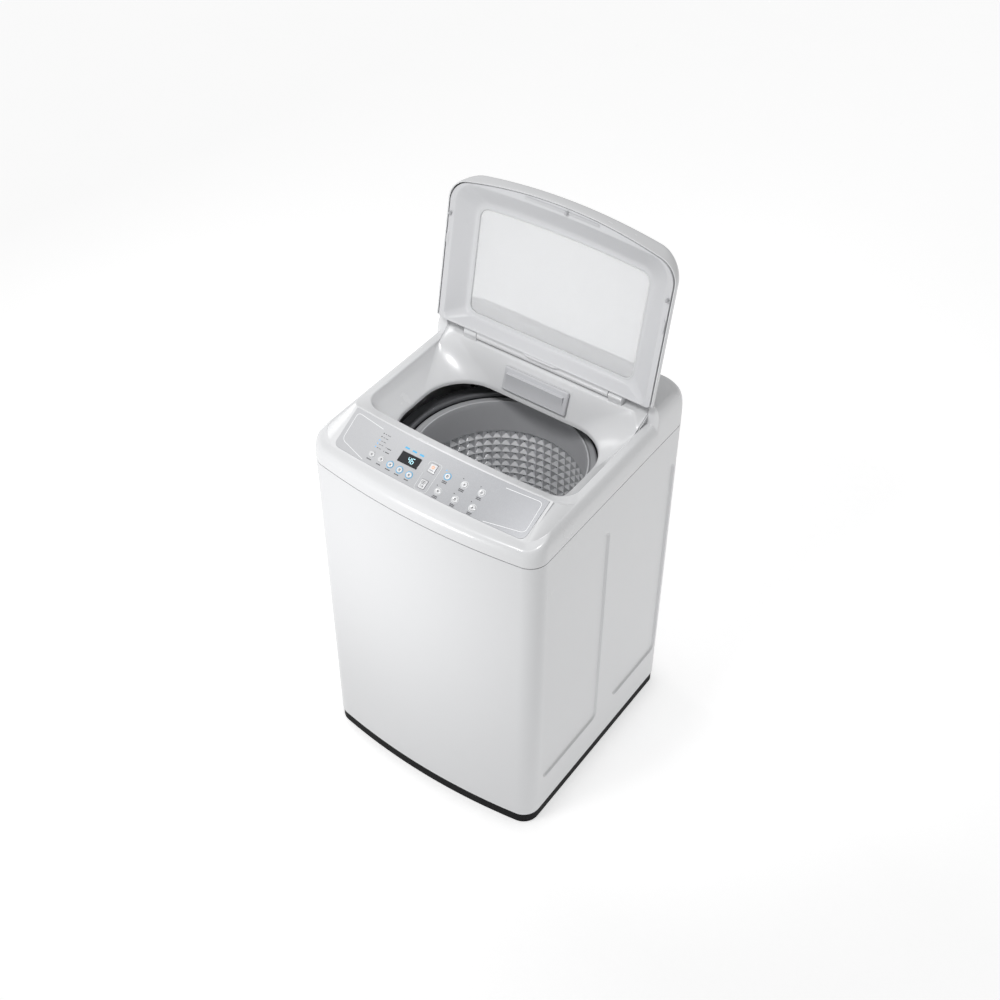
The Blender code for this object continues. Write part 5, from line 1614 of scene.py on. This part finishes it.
@dataclass
class DetergentDrawer(SubAssembly):
    """The drawer with its rounded front, its tray and a small drop sign."""

    half: float = 0.077
    middle_z: float = 0.8390
    front_length: float = 0.0520
    front_thick: float = 0.0075
    tray_half: float = 0.068
    tray_z: tuple[float, float] = (0.8260, 0.8560)
    tray_rear: float = 0.212
    tray_wall: float = 0.0016

    def build(self) -> None:
        """Build the drawer with its tray, and its sign."""
        top = MouldedTop()
        slope = math.atan2(top.wall_top_y - top.hole_y[1], top.trough_z - top.hole_z)
        place = (Matrix.Translation((0, top.wall_y(self.middle_z), self.middle_z))
                 @ Matrix.Rotation(-slope, 4, "X"))
        half = self.front_length / 2
        front = box_shape([((-self.half, -self.front_thick - 0.0010, -half), (self.half, -0.0010, half))],
                          None, 0.0034)
        front.transform(place)
        drawer = to_object("drawer_front", front, 40)
        start = top.wall_y(self.tray_z[0]) - 0.006
        block = box_shape([((-self.tray_half, start, self.tray_z[0]),
                            (self.tray_half, self.tray_rear, self.tray_z[1]))])
        combine(drawer, to_object("tray_block", block, 0), "UNION")
        cup_start = top.wall_y(self.tray_z[1]) + 0.0035
        wall = self.tray_wall
        cup = box_shape([((-self.tray_half + wall, cup_start, self.tray_z[0] + wall),
                          (self.tray_half - wall, self.tray_rear - wall, self.tray_z[1] + 0.01))])
        combine(drawer, to_object("tray_cup", cup, 0), "DIFFERENCE")
        self.add(steady_normals(drawer), "drawer", DRAWER_GREY, "detergent_drawer")
        self._build_sign(place)

    def _build_sign(self, place: Matrix) -> None:
        """Build a drop over two short bars on the drawer's face.

        Args:
            place: The face's frame.
        """
        shape = bmesh.new()
        level = -self.front_thick - 0.0011
        drop = [(0.0022 * math.sin(a) * (1 - 0.45 * max(math.cos(a), 0.0)), 0.0024 * math.cos(a) + 0.0030)
                for a in (math.tau * i / 20 for i in range(20))]
        outlines = [drop, [(-0.0062, -0.0012), (-0.0006, -0.0012), (-0.0006, -0.0034), (-0.0062, -0.0034)],
                    [(0.0002, -0.0012), (0.0062, -0.0012), (0.0062, -0.0034), (0.0002, -0.0034)]]
        for outline in outlines:
            shape.faces.new([shape.verts.new((1.35 * x - 0.006, level, 1.35 * z)) for x, z in outline])
        for face in shape.faces:
            face.normal_update()
            if face.normal.y > 0:
                face.normal_flip()
        shape.transform(place)
        self.add(thicken(to_object("drawer_sign", shape, 0), 0.0001), "drawer", PRINT_DARK)

    def dress(self) -> None:
        """Dress the housing behind the basin's wall."""
        self.dress_node("drawer_housing", TRIM_GREY, 30)


@dataclass
class Basket(SubAssembly):
    """The spinning basket: embossed stainless wall, balance ring and lint filter."""

    wall_radius: float = 0.1785
    wall_z: tuple[float, float] = (0.3003, 0.6687)
    columns: int = 58
    rows: int = 18
    dent: float = 0.0062
    hole_radius: float = 0.0015
    sheet: float = 0.0007
    ring_inner: float = 0.176
    ring_outer: float = 0.1972
    ring_z: tuple[float, float] = (0.669, 0.747)

    def build(self) -> None:
        """Build the wall and the ring."""
        self._build_wall()
        self._build_ring()

    def _build_wall(self) -> None:
        """Build the wall as a grid of four sided dents, each with a drain hole at its bottom."""
        shape = bmesh.new()
        low, high = self.wall_z[0] + 0.004, self.wall_z[1] - 0.003
        step_z = (high - low) / self.rows
        turn = math.tau / self.columns
        around = 8

        def point(radius: float, angle: float, z: float) -> Vector:
            """Return a point of the wall in cylinder coordinates."""
            return Vector((radius * math.cos(angle), radius * math.sin(angle), z))

        grid = [[shape.verts.new(point(self.wall_radius, turn * c, low + step_z * r))
                 for c in range(self.columns)]
                for r in range(self.rows + 1)]
        spots = [(0, -1), (1, -1), (1, 0), (1, 1), (0, 1), (-1, 1), (-1, 0), (-1, -1)]
        for r in range(self.rows):
            for c in range(self.columns):
                middle = turn * (c + 0.5)
                height = low + step_z * (r + 0.5)
                rim = []
                for index in range(around):
                    spin = math.atan2(spots[index][1], spots[index][0])
                    angle = middle + self.hole_radius * math.cos(spin) / self.wall_radius
                    rise = height + self.hole_radius * math.sin(spin)
                    rim.append(shape.verts.new(point(self.wall_radius + self.dent, angle, rise)))
                after = (c + 1) % self.columns
                corners = {7: grid[r][c], 1: grid[r][after], 3: grid[r + 1][after], 5: grid[r + 1][c]}
                order = (7, 1, 3, 5)
                for k, start in enumerate(order):
                    end = order[(k + 1) % 4]
                    between = (start + 1) % around
                    shape.faces.new((corners[start], corners[end], rim[end], rim[between], rim[start]))
        bottom = [shape.verts.new(point(self.wall_radius, turn * c, self.wall_z[0]))
                  for c in range(self.columns)]
        lip = [[shape.verts.new(point(radius, turn * c, z)) for c in range(self.columns)]
               for radius, z in ((self.wall_radius - 0.0012, high + 0.0012),
                                 (self.wall_radius - 0.0012, self.wall_z[1]))]
        join_rows(shape, [bottom, grid[0]], closed=True)
        join_rows(shape, [grid[-1], *lip], closed=True)
        bmesh.ops.recalc_face_normals(shape, faces=shape.faces)
        wall = thicken(to_object("basket_embossed_wall", shape, 0), self.sheet, 0.0)
        wall.data.shade_flat()
        self.add(wall, "basket", STAINLESS, "basket_wall")

    def _build_ring(self) -> None:
        """Build the balance ring with its rounded upper edge, and a lighter grey bead along that edge as a
        painted highlight.
        """
        low, high = self.ring_z
        corners = [(self.ring_inner - 0.001, low), (self.ring_inner, high - 0.010),
                   (self.ring_inner + 0.0010, high),
                   (self.ring_inner + 0.0045, high), (self.ring_inner + 0.0065, high - 0.0022),
                   (self.ring_outer - 0.0045, high - 0.0030), (self.ring_outer, high - 0.0060),
                   (self.ring_outer, low + 0.001), (self.ring_outer - 0.002, low)]
        radii = [0, 0.004, 0.0012, 0.0012, 0.0010, 0.0015, 0.0020, 0.0008, 0]
        ring = turned("balance_ring_body", soft_profile(corners, radii), 160, closed=True)
        self.add(ring, "basket", RING_DARK, "balance_ring")
        # Painted highlight: a thin bead in lighter grey marks the light caught by the ring's inner upper
        # edge.
        highlight_bead = soft_profile([(self.ring_inner + 0.0012, high + 0.0001),
                             (self.ring_inner + 0.0016, high + 0.0006),
                             (self.ring_inner + 0.0034, high + 0.0006),
                             (self.ring_inner + 0.0038, high + 0.0001)],
                            [0, 0.0004, 0.0004, 0])
        self.add(turned("balance_ring_highlight_bead", highlight_bead, 160, closed=True), "basket", LID_GREY)

    def dress(self) -> None:
        """Dress the base and the filter."""
        self.dress_node("basket_base", CAST)
        self.dress_node("lint_filter", TRIM_GREY)


@dataclass
class Pulsator(SubAssembly):
    """The low disc at the basket's bottom, with four soft vanes."""

    radius: float = 0.160
    low_z: float = 0.303
    vanes: int = 4
    vane_rise: float = 0.0150
    vane_width: float = 0.0130
    spokes: int = 128
    rings: int = 40

    def _height(self, radius: float, angle: float) -> float:
        """Return the disc's height at a point in polar coordinates."""
        share = radius / self.radius
        base = 0.3105 + 0.0195 * (1 - share) ** 1.6
        if share > 0.955:
            base -= 0.0060 * ease((share - 0.955) / 0.045)
        spread = math.tau / self.vanes
        off = (angle + 0.25 * math.sin(share * math.pi) + spread / 2) % spread - spread / 2
        away = radius * math.sin(off)
        fade = (ease(min(max((share - 0.12) / 0.2, 0.0), 1.0))
                * ease(min(max((0.93 - share) / 0.16, 0.0), 1.0)))
        rise = self.vane_rise * fade * math.exp(-(away / self.vane_width) ** 2)
        ripple = 0.0006 * math.cos(radius * 420.0) * fade
        return min(base + rise + ripple, 0.3338)

    def build(self) -> None:
        """Build the disc."""
        shape = bmesh.new()
        middle = shape.verts.new((0, 0, 0.3308))
        rows = []
        for r in range(1, self.rings + 1):
            radius = self.radius * (r / self.rings) ** 0.9
            rows.append([shape.verts.new((radius * math.cos(math.tau * s / self.spokes),
                                          radius * math.sin(math.tau * s / self.spokes),
                                          self._height(radius, math.tau * s / self.spokes)))
                         for s in range(self.spokes)])
        rows.append([shape.verts.new((vert.co.x, vert.co.y, self.low_z)) for vert in rows[-1]])
        for s in range(self.spokes):
            shape.faces.new((middle, rows[0][s], rows[0][(s + 1) % self.spokes]))
        join_rows(shape, rows, closed=True)
        shape.faces.new(rows[-1])
        bmesh.ops.recalc_face_normals(shape, faces=shape.faces)
        self.add(to_object("pulsator_disc", shape, 40), "pulsator", PULSATOR, "pulsator")
        cap = soft_profile([(0, 0.3390), (0.0120, 0.3388), (0.0175, 0.3360), (0.0180, 0.3320), (0, 0.3320)],
                           [0, 0.004, 0.002, 0, 0])
        self.add(turned("pulsator_cap_dome", cap, 64), "pulsator", TRIM_GREY, "pulsator_cap")


@dataclass
class TubAndDrive(SubAssembly):
    """The hung tub with its cover, and the drive, belt and pump under it."""

    tub_top: float = 0.7355
    edge: float = 0.2315
    bore: float = 0.1990

    def build(self) -> None:
        """Build the tub's cover with its rolled inner edge."""
        base = self.tub_top
        corners = [(self.edge, base + 0.0090), (self.edge, base), (self.bore + 0.010, base),
                   (self.bore, base + 0.0060), (self.bore, base + 0.0135),
                   (self.bore + 0.0028, base + 0.0160),
                   (self.bore + 0.0070, base + 0.0155), (self.bore + 0.0110, base + 0.0118),
                   (self.edge - 0.0080, base + 0.0108)]
        radii = [0.002, 0.001, 0.003, 0.002, 0.002, 0.002, 0.003, 0.003, 0.003]
        cover = turned("tub_cover_ring", soft_profile(corners, radii), 144, closed=True)
        self.add(cover, "tub", TUB_PLASTIC, "tub_cover")

    def dress(self) -> None:
        """Dress the tub, the plate, the drive and the pump."""
        for node in ("outer_tub", "drain_pump"):
            self.dress_node(node, TUB_PLASTIC)
        for node in ("mounting_plate", "motor"):
            self.dress_node(node, ZINC)
        for node in ("gearbox", "drive_pulley", "motor_pulley"):
            self.dress_node(node, CAST)
        self.dress_node("drive_belt", BELT, 30)


@dataclass
class RearConnectors(SubAssembly):
    """The water inlets with their threads, the drain elbow and the cord's gland."""

    reach_y: float = 0.286
    spigot_radius: float = 0.0125
    thread_pitch: float = 0.0022

    def build(self) -> None:
        """Build the two threaded inlet spigots."""
        low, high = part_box("inlet_valve")
        middle_z = (low.z + high.z) / 2
        start = 0.2612
        for side, x in ((Side.LEFT, low.x + 0.018), (Side.RIGHT, high.x - 0.018)):
            corners: list[Point2] = [(0.0085, 0.0), (0.0085, self.reach_y - start)]
            depth = self.reach_y - start
            ridge = depth - 0.0006
            corners.append((self.spigot_radius - 0.0010, self.reach_y - start))
            while ridge > depth * 0.30:
                corners.append((self.spigot_radius + 0.0009, ridge - self.thread_pitch * 0.35))
                corners.append((self.spigot_radius + 0.0001, ridge - self.thread_pitch * 0.95))
                ridge -= self.thread_pitch
            corners.append((self.spigot_radius + 0.0001, 0.0))
            turn = Matrix.Translation((x, start, middle_z)) @ Matrix.Rotation(-math.pi / 2, 4, "X")
            piece = turned(f"inlet_spigot_{side.name.lower()}", corners, 56, matrix=turn, closed=True,
                           smooth_angle=25)
            self.add(piece, "cabinet", TUB_PLASTIC)

    def dress(self) -> None:
        """Dress the valve, the elbow and the gland."""
        self.dress_node("inlet_valve", TUB_PLASTIC)
        self.dress_node("drain_elbow", TUB_PLASTIC)
        self.dress_node("cord_gland", BLACK_GRAIN)


# ---- studio ---------------------------------------------------------------------------------------
@dataclass(frozen=True)
class Lamp:
    """A soft lamp: a spot where it has a cone, else a square softbox.

    The size is a spot's bulb radius or a softbox's side, the power is in watts and the cone's
    whole angle is in degrees.
    """

    name: str
    position: Point3
    target: Point3
    size: float
    power: float
    cone: float | None = None

    def build(self) -> None:
        """Build the lamp and turn it towards its target."""
        if self.cone is None:
            data = bpy.data.lights.new(self.name, "AREA")
            data.size = self.size
        else:
            data = bpy.data.lights.new(self.name, "SPOT")
            data.shadow_soft_size = self.size
            data.spot_size = math.radians(self.cone)
            data.spot_blend = 1.0
        data.energy = self.power
        lamp = bpy.data.objects.new(self.name, data)
        bpy.context.scene.collection.objects.link(lamp)
        lamp.location = self.position
        lamp.rotation_euler = (Vector(self.target) - Vector(self.position)).to_track_quat("-Z",
                                                                                          "Y").to_euler()


@dataclass(frozen=True)
class Studio:
    """A pale floor, soft light all around and a camera above the machine's front right corner."""

    position: Point3 = (1.28781, -1.82447, 2.77096)
    yaw: float = -0.6141
    pitch: float = 0.76417
    roll: float = 0.00672
    lens: float = 54.01
    sensor: float = 36.0
    floor_size: float = 12.0
    sky: float = 0.52
    lamps: tuple[Lamp, ...] = (
        Lamp("front_lamp", (-0.50, -1.60, 0.80), (-0.17, -0.30, 0.64), 0.25, 38.0, 46.0),
        Lamp("top_lamp", (-0.05, -0.66, 2.10), (-0.03, 0.05, 0.85), 0.15, 42.0, 58.0),
        Lamp("drum_lamp", (-0.05, -0.62, 2.10), (0.02, 0.02, 0.70), 0.08, 22.0, 16.0),
        Lamp("left_softbox", (-1.7, 0.3, 1.7), (0.0, 0.0, 0.9), 0.8, 7.0))

    def build(self) -> None:
        """Build the floor, the sky, the lamps and the camera."""
        self._build_floor()
        self._build_sky()
        for lamp in self.lamps:
            lamp.build()
        self._build_camera()

    def _build_floor(self) -> None:
        """Build the pale floor."""
        half = self.floor_size / 2
        shape = bmesh.new()
        shape.faces.new([shape.verts.new(corner) for corner in
                         ((-half, -half, 0), (half, -half, 0), (half, half, 0), (-half, half, 0))])
        floor = to_object("studio_floor", shape, 0)
        floor.data.materials.append(FLOOR_PALE.material())

    def _build_sky(self) -> None:
        """Build the even white surroundings."""
        world = bpy.data.worlds.new("studio_white")
        world.use_nodes = True
        back = world.node_tree.nodes["Background"]
        back.inputs["Color"].default_value = (1.0, 1.0, 1.0, 1.0)
        back.inputs["Strength"].default_value = self.sky
        bpy.context.scene.world = world
        bpy.context.scene.view_settings.view_transform = "Standard"

    def _build_camera(self) -> None:
        """Build the camera."""
        data = bpy.data.cameras.new("studio_camera")
        data.lens = self.lens
        data.sensor_width = self.sensor
        data.clip_end = 50.0
        camera = bpy.data.objects.new("studio_camera", data)
        bpy.context.scene.collection.objects.link(camera)
        forward = Vector((math.sin(self.yaw) * math.cos(self.pitch),
                          math.cos(self.yaw) * math.cos(self.pitch), -math.sin(self.pitch)))
        level = Vector((math.cos(self.yaw), -math.sin(self.yaw), 0.0))
        upright = level.cross(forward)
        right = level * math.cos(self.roll) + upright * math.sin(self.roll)
        up = upright * math.cos(self.roll) - level * math.sin(self.roll)
        turn = Matrix((right, up, -forward)).transposed().to_4x4()
        camera.matrix_world = Matrix.Translation(self.position) @ turn
        bpy.context.scene.camera = camera


def main() -> None:
    """Build the studio and every sub-assembly."""
    logging.basicConfig(level=logging.INFO, format="%(message)s")
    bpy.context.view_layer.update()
    Studio().build()
    for assembly in (Cabinet(), MouldedTop(), ControlPanel(), Lid(), DetergentDrawer(), Basket(), Pulsator(),
                     TubAndDrive(), RearConnectors()):
        assembly.build()
        assembly.dress()
        assembly.report()


if __name__ == "__main__":
    main()
